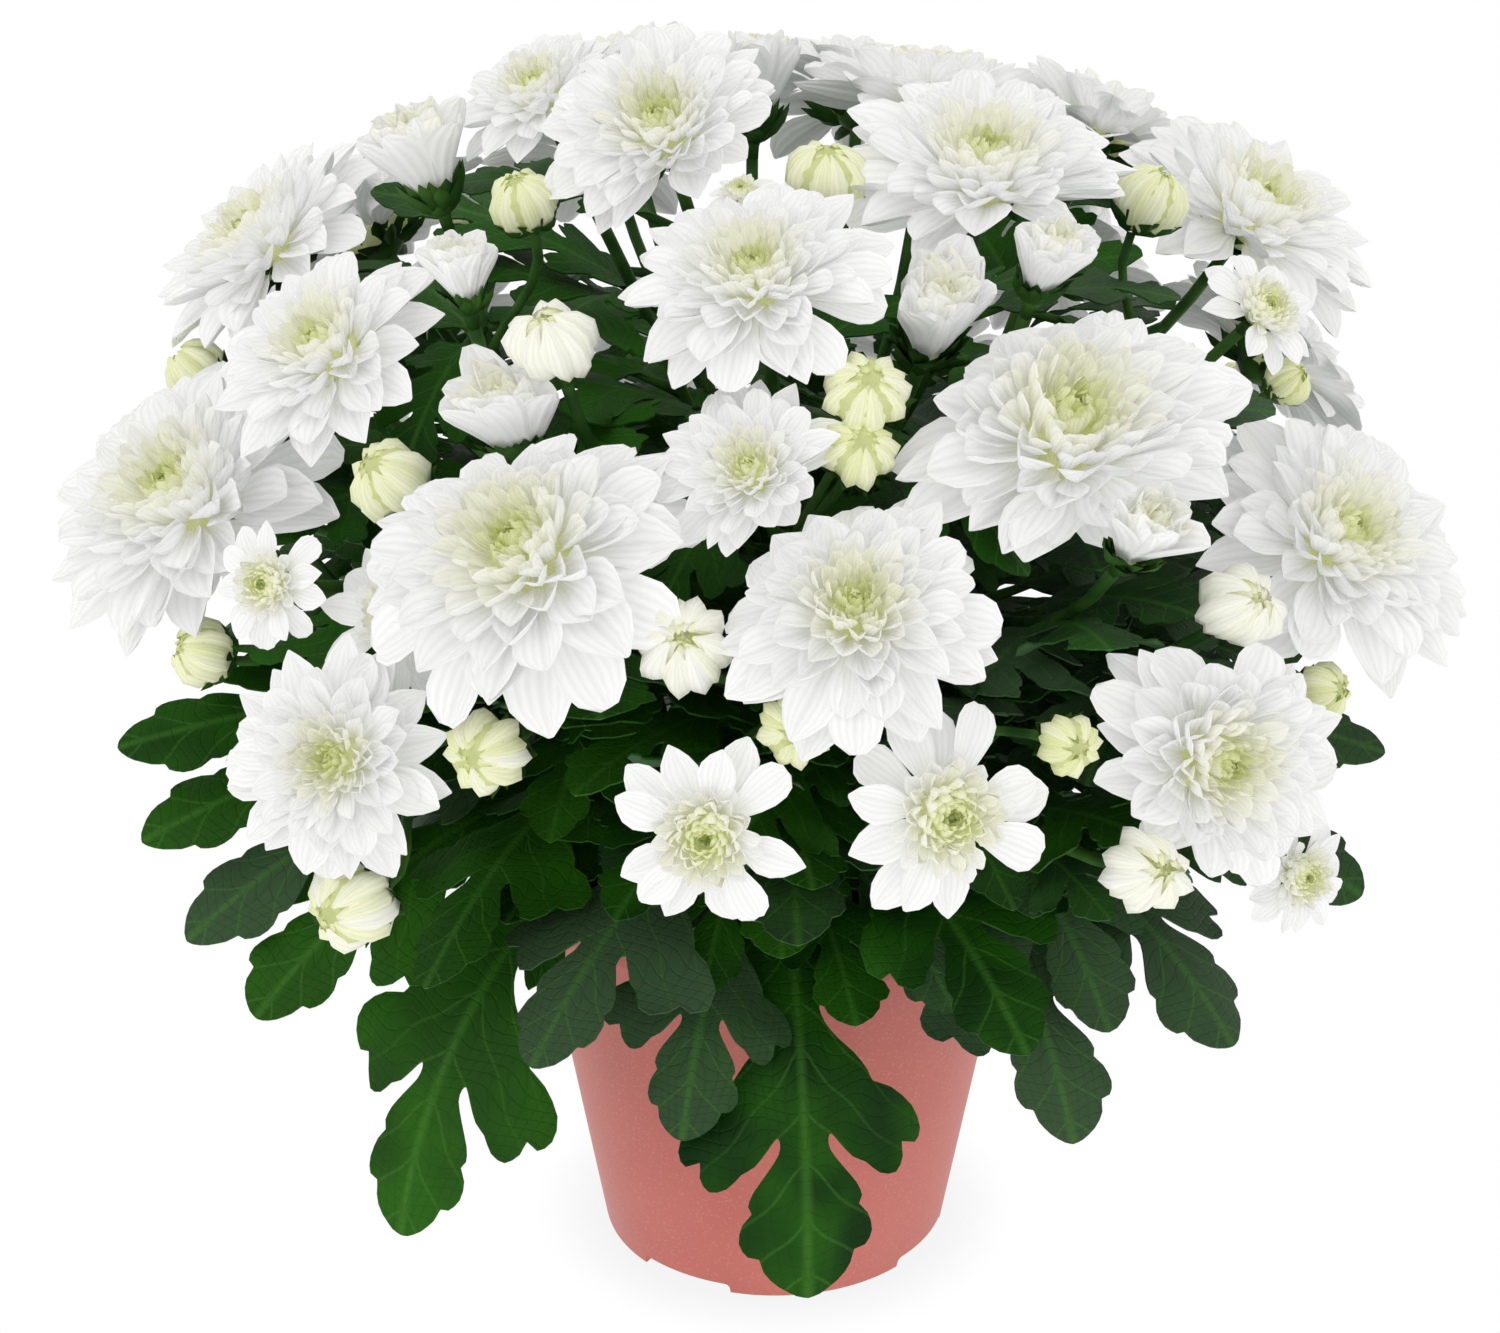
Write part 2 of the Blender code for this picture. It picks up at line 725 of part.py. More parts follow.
def stem_of(point):
    """The name of the main stem that a flower or bud grows from."""
    if math.hypot(point.x, point.y) < CENTRE_REACH:
        return "middle"
    bearing = math.degrees(math.atan2(point.x, -point.y)) % 360
    return STEM_NAMES[round(bearing / 60) % 6]


# Pot and soil.


def make_pot(material, collection, cutters):
    """The pot, turned, with four notches in its foot and drain holes."""
    band_z = POT_HEIGHT - POT_BAND_HEIGHT
    inner_foot = POT_FOOT_R + (POT_NECK_R - POT_FOOT_R) * 0.05 - POT_WALL
    profile = (
        (0, POT_FLOOR_Z + POT_WALL),
        (inner_foot, POT_FLOOR_Z + POT_WALL),
        (POT_NECK_R - POT_WALL, band_z),
        (POT_RIM_R - 1.8 * MM, POT_HEIGHT),
        (POT_RIM_R - 0.5 * MM, POT_HEIGHT),
        (POT_RIM_R, POT_HEIGHT - 0.6 * MM),
        (POT_RIM_R, band_z + 0.3 * MM),
        (POT_NECK_R, band_z),
        (POT_FOOT_R, 0.6 * MM),
        (POT_FOOT_R - 0.4 * MM, 0),
        (POT_FOOT_R - 2.6 * MM, 0),
        (POT_FOOT_R - 2.6 * MM, POT_FLOOR_Z),
        (0, POT_FLOOR_Z),
    )
    pot = turned("pot", profile, POT_STEPS, collection)
    for number, bearing in enumerate(NOTCH_BEARINGS):
        bpy.ops.mesh.primitive_cube_add(size=1)
        notch = bpy.context.object
        notch.name = "notch_cutter_%d" % number
        notch.scale = (NOTCH_WIDTH, 12 * MM, 2 * NOTCH_HEIGHT)
        notch.rotation_euler = (0, 0, math.radians(bearing))
        notch.location = aim(bearing, 0) * POT_FOOT_R
        move_to(notch, cutters)
        cut(pot, notch)
    for number in range(DRAINS):
        bpy.ops.mesh.primitive_cylinder_add(vertices=8, radius=DRAIN_R, depth=20 * MM)
        drain = bpy.context.object
        drain.name = "drain_cutter_%d" % number
        drain.location = aim(360 / DRAINS * number + 20, 0) * DRAIN_REACH
        move_to(drain, cutters)
        cut(pot, drain)
    dress(pot, material)
    return pot


def make_soil(feet, material, collection, cutters):
    """The potting soil, with a hole for each stem."""
    band_z = POT_HEIGHT - POT_BAND_HEIGHT
    floor = POT_FLOOR_Z + POT_WALL + GAP
    inner_foot = POT_FOOT_R + (POT_NECK_R - POT_FOOT_R) * 0.05 - POT_WALL - 2 * GAP
    slope = (POT_NECK_R - POT_WALL - 2 * GAP - inner_foot) / (band_z - floor)
    edge = inner_foot + slope * (SOIL_EDGE_Z - floor)
    profile = (
        (0, SOIL_CROWN_Z),
        (0.42 * edge, SOIL_CROWN_Z - 0.4 * MM),
        (0.76 * edge, SOIL_CROWN_Z - 1.6 * MM),
        (edge, SOIL_EDGE_Z),
        (inner_foot, floor),
        (0, floor),
    )
    soil = turned("soil", profile, 20, collection)
    apply_modifiers(soil)
    dice = random.Random(7)
    for vertex in soil.data.vertices:
        if vertex.co.z > SOIL_EDGE_Z - MM and vertex.co.xy.length < 0.9 * edge:
            vertex.co.z += dice.uniform(-0.9, 0.9) * MM
    for number, foot in enumerate(feet):
        depth = 3 * HOLE_DEPTH
        bpy.ops.mesh.primitive_cylinder_add(vertices=8, radius=HOLE_R, depth=depth)
        hole = bpy.context.object
        hole.name = "stem_hole_cutter_%d" % number
        hole.location = (foot.x, foot.y, SOIL_CROWN_Z - HOLE_DEPTH - GAP + depth / 2)
        hole.rotation_euler = (0, 0, 0.3)
        move_to(hole, cutters)
        cut(soil, hole)
    dress(soil, material)
    return soil


def others_of(plant, plants):
    """The search trees of all the other stems."""
    return [tree for other in plants if other is not plant for tree in other.trees]


def move_to(item, collection):
    """Moves an object into one collection."""
    for old in list(item.users_collection):
        old.objects.unlink(item)
    collection.objects.link(item)


def main():
    for item in list(bpy.data.objects):
        bpy.data.objects.remove(item)
    plant = bpy.data.collections.new("pot_chrysanthemum")
    cutters = bpy.data.collections.new("cutters")
    bpy.context.scene.collection.children.link(plant)
    bpy.context.scene.collection.children.link(cutters)
    pot_skin = plastic("terracotta plastic", (0.58, 0.16, 0.13), 0.45)
    soil_skin = plastic("potting soil", (0.045, 0.028, 0.018), 0.95)

    feet = [("middle", 0, 0)]
    feet += [(name, bearing, STEM_REACH) for name, bearing in zip(STEM_NAMES, STEM_BEARINGS)]
    pot = make_pot(pot_skin, plant, cutters)
    make_soil([stem_axis(bearing, reach)[0] for _, bearing, reach in feet], soil_skin, plant, cutters)

    heads = make_heads()
    for name, head in heads.items():
        item = add_mesh(name, head["verts"], head["faces"], plant)
        petal_skin = plastic(name + " petals", (0.90, 0.91, 0.88), 0.55)
        dress(item, petal_skin)
        head["tree"] = tree_of(head["verts"], head["faces"], 0.0)

    graph = bpy.context.evaluated_depsgraph_get()
    fixed = [BVHTree.FromObject(pot, graph)]
    plants = [Plant(name, bearing, reach, plant) for name, bearing, reach in feet]
    for one in plants:
        for flower in FLOWERS:
            if stem_of(Vector(FLOWERS[flower][0]) * MM) == one.name:
                blocked = [head["tree"] for key, head in heads.items() if key != flower]
                blocked += others_of(one, plants) + fixed
                grow_flower_stem(one, flower, heads[flower], blocked)
    fixed += [head["tree"] for head in heads.values()]
    for number, bud in enumerate(BUDS):
        for one in plants:
            if stem_of(Vector(bud[0]) * MM) == one.name:
                grow_bud(one, number, others_of(one, plants) + fixed)
    for one in plants:
        grow_leaves(one, others_of(one, plants) + fixed)
    for one in plants:
        fuse(one, plastic("leaf green " + one.name, (0.045, 0.13, 0.035), 0.5))


main()
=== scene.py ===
import math
import random

import bmesh
import bpy
import numpy as np
from mathutils import Matrix, Vector
from mathutils.bvhtree import BVHTree
from mathutils.geometry import delaunay_2d_cdt
from mathutils.noise import fractal


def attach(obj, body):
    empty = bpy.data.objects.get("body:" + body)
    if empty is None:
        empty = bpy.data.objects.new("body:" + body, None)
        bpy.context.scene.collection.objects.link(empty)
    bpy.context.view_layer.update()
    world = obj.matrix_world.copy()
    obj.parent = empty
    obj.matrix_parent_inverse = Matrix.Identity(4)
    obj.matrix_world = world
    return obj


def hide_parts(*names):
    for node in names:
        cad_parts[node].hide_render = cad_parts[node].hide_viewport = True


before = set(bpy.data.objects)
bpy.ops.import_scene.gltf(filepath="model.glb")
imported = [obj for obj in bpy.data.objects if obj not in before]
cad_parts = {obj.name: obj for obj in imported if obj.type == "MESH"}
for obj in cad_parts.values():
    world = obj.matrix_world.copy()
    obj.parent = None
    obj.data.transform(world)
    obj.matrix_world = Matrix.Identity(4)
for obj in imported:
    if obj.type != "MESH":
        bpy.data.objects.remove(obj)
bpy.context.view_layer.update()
mm = 0.001
gap = 0.3 * mm
white = (1, 1, 1)
black = (0, 0, 0)
scene = bpy.context.scene
workshop = bpy.data.collections.new("workshop")  # holds pieces only while they are made
scene.collection.children.link(workshop)


# Small tools.

def aim(bearing, rise):  # the unit vector at a bearing and a rise in degrees
    b = math.radians(bearing)
    r = math.radians(rise)
    return Vector((math.sin(b) * math.cos(r), -math.cos(b) * math.cos(r), math.sin(r)))


def newObject(name, data):
    item = bpy.data.objects.new(name, data)
    workshop.objects.link(item)
    return item


def evaluatedMesh(item):  # what the modifiers or the curve make, as a plain mesh
    graph = bpy.context.evaluated_depsgraph_get()
    made = item.evaluated_get(graph)
    return bpy.data.meshes.new_from_object(made, preserve_all_data_layers=True, depsgraph=graph)


def baked(item):  # leaves an object with the mesh that its modifiers make
    mesh = evaluatedMesh(item)
    item.modifiers.clear()
    item.data = mesh
    return mesh


def newMesh(name, verts, faces):
    mesh = bpy.data.meshes.new(name)
    mesh.from_pydata(verts, [], faces)
    return mesh


def meshFrom(bm, name):
    mesh = bpy.data.meshes.new(name)
    bm.to_mesh(mesh)
    bm.free()
    return mesh


def coat(item, skin):  # one material for the whole of a piece
    item.data.materials.clear()
    item.data.materials.append(skin)


def joined(name, items):  # several objects as one, with their attributes
    first = items[0]
    if len(items) > 1:
        with bpy.context.temp_override(active_object=first, selected_editable_objects=items):
            bpy.ops.object.join()
    first.name = name
    first.data.name = name
    return first


def pointsOf(mesh):
    flat = np.empty(len(mesh.vertices) * 3, np.float32)
    mesh.vertices.foreach_get("co", flat)
    return flat.reshape(-1, 3)


def setPoints(mesh, points):
    mesh.vertices.foreach_set("co", np.ascontiguousarray(points, np.float32).ravel())
    mesh.update()


def put(tree, kind, inputs=(), **fields):  # a node; inputs give a value or a socket to link
    item = tree.nodes.new(kind)
    for field, value in fields.items():
        setattr(item, field, value)
    for key, value in dict(inputs).items():
        if isinstance(value, bpy.types.NodeSocket):
            tree.links.new(value, item.inputs[key])
        else:
            item.inputs[key].default_value = value
    return item


def calc(tree, operation, *values):  # the result of a Math node
    return put(tree, "ShaderNodeMath", enumerate(values), operation=operation).outputs[0]


def times(tree, first, second):
    return calc(tree, "MULTIPLY", first, second)


def plus(tree, first, second):
    return calc(tree, "ADD", first, second)


def scaled(tree, value, factor, offset):
    return calc(tree, "MULTIPLY_ADD", value, factor, offset)


def sine(tree, value):
    return calc(tree, "SINE", value)


def blendOf(tree, first, last, share):
    return plus(tree, first, times(tree, calc(tree, "SUBTRACT", last, first), share))


def nodesOf(data):  # the node tree of a material or a world
    data.use_nodes = True
    return data.node_tree


def newMaterial(name, look):  # a Principled material; look gives its roughness and its gloss
    material = bpy.data.materials.new(name)
    tree = nodesOf(material)
    shader = tree.nodes["Principled BSDF"]
    shader.inputs["Roughness"].default_value = look["rough"]
    shader.inputs["Specular IOR Level"].default_value = look["gloss"]
    return material, tree, shader


def ramp(tree, factor, stops, smooth=True):  # a colour ramp from (place, colour) pairs
    node = put(tree, "ShaderNodeValToRGB", {"Fac": factor})
    node.color_ramp.interpolation = "EASE" if smooth else "LINEAR"
    marks = node.color_ramp.elements
    while len(marks) < len(stops):
        marks.new(0.5)
    for mark, (place, colour) in zip(marks, stops):
        mark.position = place
        mark.color = (*colour, 1)
    return node.outputs["Color"]


def band(tree, factor, low, high, smooth=True):  # 0 below low and 1 above high, or the other way round
    ends = [(low, black), (high, white)] if low < high else [(high, white), (low, black)]
    return ramp(tree, factor, ends, smooth)


def mixColour(tree, factor, one, two, mode="MIX"):
    colours = {0: factor}
    for socket, colour in ((6, one), (7, two)):
        colours[socket] = (*colour, 1) if isinstance(colour, tuple) else colour
    return put(tree, "ShaderNodeMix", colours, data_type="RGBA", blend_type=mode).outputs[2]


def noise(tree, scale, detail, rough=0.55):
    place = put(tree, "ShaderNodeTexCoord").outputs["Object"]
    values = {"Vector": place, "Scale": scale, "Detail": detail, "Roughness": rough}
    return put(tree, "ShaderNodeTexNoise", values).outputs["Fac"]


def attribute(tree, name):
    return put(tree, "ShaderNodeAttribute", attribute_name=name).outputs["Fac"]


def onBlade(tree):  # where a point lies across and along a petal or a leaf, from 0 to 1
    uv = put(tree, "ShaderNodeUVMap", uv_map="UVMap").outputs[0]
    return put(tree, "ShaderNodeSeparateXYZ", {0: uv}).outputs[:2]


def bumped(tree, shader, height, bump):
    values = {"Height": height, "Strength": bump[0], "Distance": bump[1]}
    tree.links.new(put(tree, "ShaderNodeBump", values).outputs[0], shader.inputs["Normal"])


# Materials.

petalLook = {
    "rough": 0.55,
    "gloss": 0.2,
    "tones": [  # from the petals at a head's rim to its eye
        (0.0, (0.96, 0.96, 0.955)), (0.42, (0.96, 0.96, 0.955)), (0.60, (0.95, 0.95, 0.84)),
        (0.74, (0.90, 0.92, 0.62)), (0.87, (0.80, 0.84, 0.44)), (0.99, (0.25, 0.32, 0.06)),
    ],
    "root": (0.95, 0.96, 0.84),
    "rootShare": 0.6,
    "rootReach": 0.5,
    "vein": (0.905, 0.91, 0.915),
    "veins": 7.0,
    "bump": (0.2, 0.3 * mm),
    "glow": 0.10,  # for the light that passes through a petal from behind
}


def makePetalMaterial():
    look = petalLook
    material, tree, shader = newMaterial("petal", look)
    across, along = onBlade(tree)
    base = ramp(tree, attribute(tree, "depth"), look["tones"])
    root = band(tree, along, look["rootReach"], 0.0)
    base = mixColour(tree, times(tree, root, look["rootShare"]), base, look["root"], "MULTIPLY")
    stripes = sine(tree, times(tree, across, look["veins"] * 2 * math.pi))
    base = mixColour(tree, scaled(tree, stripes, 0.5, 0.5), base, look["vein"], "MULTIPLY")
    tree.links.new(base, shader.inputs["Base Color"])
    # painted light: the petals emit a little of their own colour, a glow that stands in for light passing
    # through them from behind
    tree.links.new(base, shader.inputs["Emission Color"])
    shader.inputs["Emission Strength"].default_value = look["glow"]
    material.cycles.emission_sampling = "NONE"
    bumped(tree, shader, stripes, look["bump"])
    return material


leafLook = {
    "rough": 0.45,
    "gloss": 0.10,
    "dark": (0.004, 0.030, 0.003),
    "green": (0.016, 0.095, 0.004),
    "bright": (0.040, 0.180, 0.008),
    # the grey green below stands for dull leaves and also for painted sheen, the grey veil of reflected light
    # on the leaves at the right
    "dullAndSheen": (0.050, 0.100, 0.045),
    "vein": (0.075, 0.24, 0.030),
    "under": (0.060, 0.135, 0.060),
    "underVein": (0.12, 0.21, 0.10),
    "patches": 55.0,
    "patchRange": (0.3, 0.7),
    "fresh": [(0.0, black), (0.6, (0.5, 0.5, 0.5)), (0.8, black)],
    "dullAndSheenRange": (0.7, 1.0),
    "waves": (26.0, 9.0),  # along the blade, and out from its midrib
    "waveShift": 0.006,
    "veinFade": (-0.8, 0.9),
    "veinShare": 0.38,
    "veinDepth": 0.8,
    "net": (125.0, 28.0),
    "netWaves": (1.6, 1.2),
    "netSharpness": 4.0,
    "netShare": 0.12,
    "sheen": (0.25, 0.34),
    "underRough": 0.25,
    "bump": (0.35, 0.5 * mm),
}
leafVeins = {"spacing": 0.105, "slope": 0.27, "width": 0.075, "midrib": 0.07}  # as shares of the leaf's size


def makeLeafMaterial():
    look = leafLook
    veins = leafVeins
    material, tree, shader = newMaterial("leaf", look)
    across, along = onBlade(tree)
    out = times(tree, calc(tree, "ABSOLUTE", calc(tree, "SUBTRACT", across, 0.5)), 2.0)
    under = attribute(tree, "under")
    tone = attribute(tree, "tone")
    patches = noise(tree, look["patches"], 1.0)
    waves = sine(tree, scaled(tree, along, look["waves"][0], times(tree, out, look["waves"][1])))
    course = scaled(tree, waves, look["waveShift"], scaled(tree, out, -veins["slope"], along))
    course = calc(tree, "PINGPONG", calc(tree, "DIVIDE", course, veins["spacing"]), 0.5)
    fade = scaled(tree, out, *look["veinFade"])
    sideVein = times(tree, band(tree, course, veins["width"], 0.0), fade)
    line = calc(tree, "MAXIMUM", sideVein, band(tree, out, veins["midrib"], 0.0))
    lengthwise, crosswise = (
        sine(tree, scaled(tree, place, fine, times(tree, waves, bent)))
        for place, fine, bent in zip((along, out), look["net"], look["netWaves"])
    )
    net = calc(tree, "ABSOLUTE", times(tree, lengthwise, crosswise))
    net = calc(tree, "MINIMUM", times(tree, net, look["netSharpness"]), 1.0)
    fresh = ramp(tree, tone, look["fresh"], False)
    blade = mixColour(tree, band(tree, patches, *look["patchRange"]), look["dark"], look["green"])
    blade = mixColour(tree, fresh, blade, look["bright"])
    # leaves of high tone take the grey green: dull leaves, and in part a painted sheen
    blade = mixColour(tree, band(tree, tone, *look["dullAndSheenRange"], False), blade, look["dullAndSheen"])
    blade = mixColour(tree, times(tree, line, look["veinShare"]), blade, look["vein"])
    netShade = scaled(tree, net, look["netShare"], 1 - look["netShare"])
    blade = mixColour(tree, netShade, look["dark"], blade)
    back = mixColour(tree, line, look["under"], look["underVein"])
    tree.links.new(mixColour(tree, under, blade, back), shader.inputs["Base Color"])
    gloss = scaled(tree, under, look["underRough"], scaled(tree, patches, *look["sheen"]))
    tree.links.new(gloss, shader.inputs["Roughness"])
    bumped(tree, shader, scaled(tree, line, -look["veinDepth"], net), look["bump"])
    return material


stemLook = {
    "rough": 0.55,
    "gloss": 0.12,
    "patches": 140.0,
    "tones": [(0.3, (0.020, 0.075, 0.012)), (0.7, (0.055, 0.145, 0.025))],
}
potLook = {
    "rough": 0.45,
    "gloss": 0.4,
    "clouds": 18.0,
    "tones": [(0.3, (0.53, 0.132, 0.106)), (0.7, (0.61, 0.168, 0.134))],
    "grain": 1400.0,
    "speck": (0.70, 0.30, 0.25),
    "speckRange": (0.62, 0.72),
    "speckShare": 0.25,
    "sheen": (0.30, 0.32),
    "bump": (0.12, 0.2 * mm),
}
soilLook = {
    "rough": 0.95,
    "gloss": 0.15,
    "lumps": 240.0,
    "tones": [(0.3, (0.012, 0.008, 0.005)), (0.55, (0.045, 0.028, 0.018)), (0.8, (0.10, 0.065, 0.04))],
    "bump": (0.9, 1 * mm),
}


def makeStemMaterial():
    look = stemLook
    material, tree, shader = newMaterial("stem", look)
    base = ramp(tree, noise(tree, look["patches"], 0.0), look["tones"])
    tree.links.new(base, shader.inputs["Base Color"])
    return material


def makePotMaterial():
    look = potLook
    material, tree, shader = newMaterial("terracotta_plastic", look)
    clouds = noise(tree, look["clouds"], 2.0)
    grain = noise(tree, look["grain"], 0.0)
    specks = times(tree, band(tree, grain, *look["speckRange"]), look["speckShare"])
    base = mixColour(tree, specks, ramp(tree, clouds, look["tones"]), look["speck"])
    tree.links.new(base, shader.inputs["Base Color"])
    tree.links.new(scaled(tree, clouds, *look["sheen"]), shader.inputs["Roughness"])
    bumped(tree, shader, grain, look["bump"])
    return material


def makeSoilMaterial():
    look = soilLook
    material, tree, shader = newMaterial("peat", look)
    lumps = noise(tree, look["lumps"], 3.0, 0.7)
    tree.links.new(ramp(tree, lumps, look["tones"]), shader.inputs["Base Color"])
    bumped(tree, shader, lumps, look["bump"])
    return material


petalSkin = makePetalMaterial()
leafSkin = makeLeafMaterial()
stemSkin = makeStemMaterial()
potSkin = makePotMaterial()
soilSkin = makeSoilMaterial()
print("materials made")


# Petals: one blade of length 1 along X, its upper side towards +Z.

broad = ((0, 0.30), (0.2, 0.52), (0.42, 0.86), (0.6, 1.0), (0.77, 0.86), (0.9, 0.52), (1, 0.08))
pointed = ((0, 0.32), (0.2, 0.60), (0.42, 0.94), (0.6, 0.96), (0.77, 0.72), (0.9, 0.38), (1, 0.04))
blunt = ((0, 0.34), (0.2, 0.50), (0.42, 0.78), (0.6, 0.97), (0.77, 1.0), (0.9, 0.80), (1, 0.30))
short = ((0, 0.46), (0.32, 0.64), (0.66, 1.0), (0.88, 0.80), (1, 0.24))
narrow = ((0, 0.60), (0.35, 0.75), (0.7, 1.0), (1, 0.34))
scale = ((0, 0.80), (0.35, 1.0), (0.7, 0.80), (1, 0.06))
gore = ((0, 0.46), (0.22, 0.80), (0.45, 1.0), (0.65, 0.92), (0.82, 0.62), (0.94, 0.30), (1, 0.10))
petalKinds = {  # outline, turn of the blade at its root and at its tip in degrees, cup and groove
    "ray": [(broad, 8, -16, 0.12, 0.05), (pointed, 2, -6, 0.18, 0.05), (blunt, 10, -26, 0.10, 0.04),
            (pointed, -4, 8, 0.22, 0.06), (broad, 6, -10, 0.24, 0.05)],
    "layer": [(blunt, 4, -4, 0.22, 0.05), (broad, 0, 8, 0.26, 0.05), (blunt, -4, 14, 0.32, 0.04),
              (pointed, -6, 22, 0.36, 0.04)],
    "inner": [(short, 2, 12, 0.34, 0.03), (short, -2, 24, 0.42, 0.03), (short, -6, 40, 0.46, 0.0)],
    "boss": [(short, -10, 50, 0.50, 0.03), (short, -16, 76, 0.56, 0.02), (short, -20, 100, 0.60, 0.0)],
    "heart": [(narrow, -10, 50, 0.50, 0.0), (narrow, -8, 80, 0.50, 0.0)],
    "cup": [(blunt, 12, -6, 0.34, 0.05), (blunt, 8, 14, 0.38, 0.05), (broad, 6, 22, 0.40, 0.05)],
    "wrap": [(gore, -40, 128, 0.30, 0.03), (gore, -38, 120, 0.30, 0.02)],
    "bract": [(scale, -20, 26, 0.30, 0.0), (scale, -10, 14, 0.26, 0.0)],
}

petalForm = {"steps": 24, "curl": 1.2, "thickness": 0.022, "grooveReach": 0.1}


def petalMesh(name, outline, rootTurn, tipTurn, cup, groove):
    form = petalForm
    sides = 4 if len(outline) > 4 else 2
    rows = len(outline)
    spine = [Vector((0, 0, 0))]
    fine = form["steps"]
    for i in range(fine):
        turn = math.radians(rootTurn + (tipTurn - rootTurn) * ((i + 0.5) / fine) ** form["curl"])
        spine.append(spine[-1] + Vector((math.cos(turn), 0, math.sin(turn))) / fine)
    verts = []
    uvs = []
    for t, width in outline:
        index = min(int(t * fine), fine - 1)
        middle = spine[index].lerp(spine[index + 1], t * fine - index)
        ahead = (spine[index + 1] - spine[index]).normalized()
        up = Vector((-ahead.z, 0, ahead.x))
        for k in range(sides + 1):
            u = 2 * k / sides - 1
            lift = cup * width * 0.5 * u * u - (groove * width if abs(u) < form["grooveReach"] else 0)
            verts.append(middle + Vector((0, 0.5 * width * u, 0)) + up * lift)
            uvs.append((k / sides, t))
    wide = sides + 1
    top = list(range(len(verts)))
    low = list(top)
    for row in range(1, rows - 1):
        for k in range(1, sides):
            low[row * wide + k] = len(verts)
            verts.append(verts[row * wide + k] - Vector((0, 0, form["thickness"])))
            uvs.append(uvs[row * wide + k])
    faces = []
    for row in range(rows - 1):
        for k in range(sides):
            a = row * wide + k
            faces.append([top[a], top[a + wide], top[a + wide + 1], top[a + 1]])
            faces.append([low[a], low[a + 1], low[a + wide + 1], low[a + wide]])
    mesh = newMesh(name, verts, faces)
    layer = mesh.uv_layers.new(name="UVMap")
    for loop in mesh.loops:
        layer.data[loop.index].uv = uvs[loop.vertex_index]
    mesh.shade_smooth()
    border = {top[i] for i in range(rows * wide) if top[i] == low[i]}
    for edge in mesh.edges:
        a, b = edge.vertices
        if a in border and b in border and (abs(a - b) == wide or abs(a - b) == 1):
            edge.use_edge_sharp = True
    return mesh


petalShelf = {}
for kind, rows in petalKinds.items():
    shelf = bpy.data.collections.new("shelf_" + kind)
    for number, row in enumerate(rows):
        blade = bpy.data.objects.new("%s_%d" % (kind, number), petalMesh(kind, *row))
        shelf.objects.link(blade)
    petalShelf[kind] = shelf


def newTree(name, **inputs):  # a Geometry Nodes tree that adds to a mesh; each input gets its kind
    tree = bpy.data.node_groups.new(name, "GeometryNodeTree")
    sockets = tree.interface
    sockets.new_socket(name="Geometry", in_out="OUTPUT", socket_type="NodeSocketGeometry")
    for name, kind in {"Geometry": "Geometry", **inputs}.items():
        sockets.new_socket(name=name.replace("_", " "), in_out="INPUT", socket_type="NodeSocket" + kind)
    return tree, put(tree, "NodeGroupInput").outputs


def partsOf(tree, collection):  # a collection's objects as instances
    return put(tree, "GeometryNodeCollectionInfo", {
        "Collection": collection, "Separate Children": True, "Reset Children": True,
    }).outputs[0]


def endTree(tree, given, real):  # the new mesh in its material, joined to the mesh that came in
    real = put(tree, "GeometryNodeSetMaterial", {"Geometry": real, "Material": given["Skin"]}).outputs[0]
    both = put(tree, "GeometryNodeJoinGeometry")
    tree.links.new(given["Geometry"], both.inputs[0])
    tree.links.new(real, both.inputs[0])
    tree.links.new(both.outputs[0], put(tree, "NodeGroupOutput").inputs[0])
    return tree


def addNodes(item, name, tree, values):  # a Geometry Nodes modifier with its inputs set
    modifier = item.modifiers.new(name, "NODES")
    modifier.node_group = tree
    for socket in tree.interface.items_tree:
        if socket.in_out == "INPUT" and socket.name in values:
            modifier[socket.identifier] = values[socket.name]


whorlForm = {  # how far a petal may stray: turns in radians, and shares of its size
    "turn": 0.16, "rise": 0.13, "roll": 0.22, "yaw": 0.07, "length": 0.09, "width": 0.10,
    "kind": 0.24, "shade": 0.03, "waves": 2.6,
}


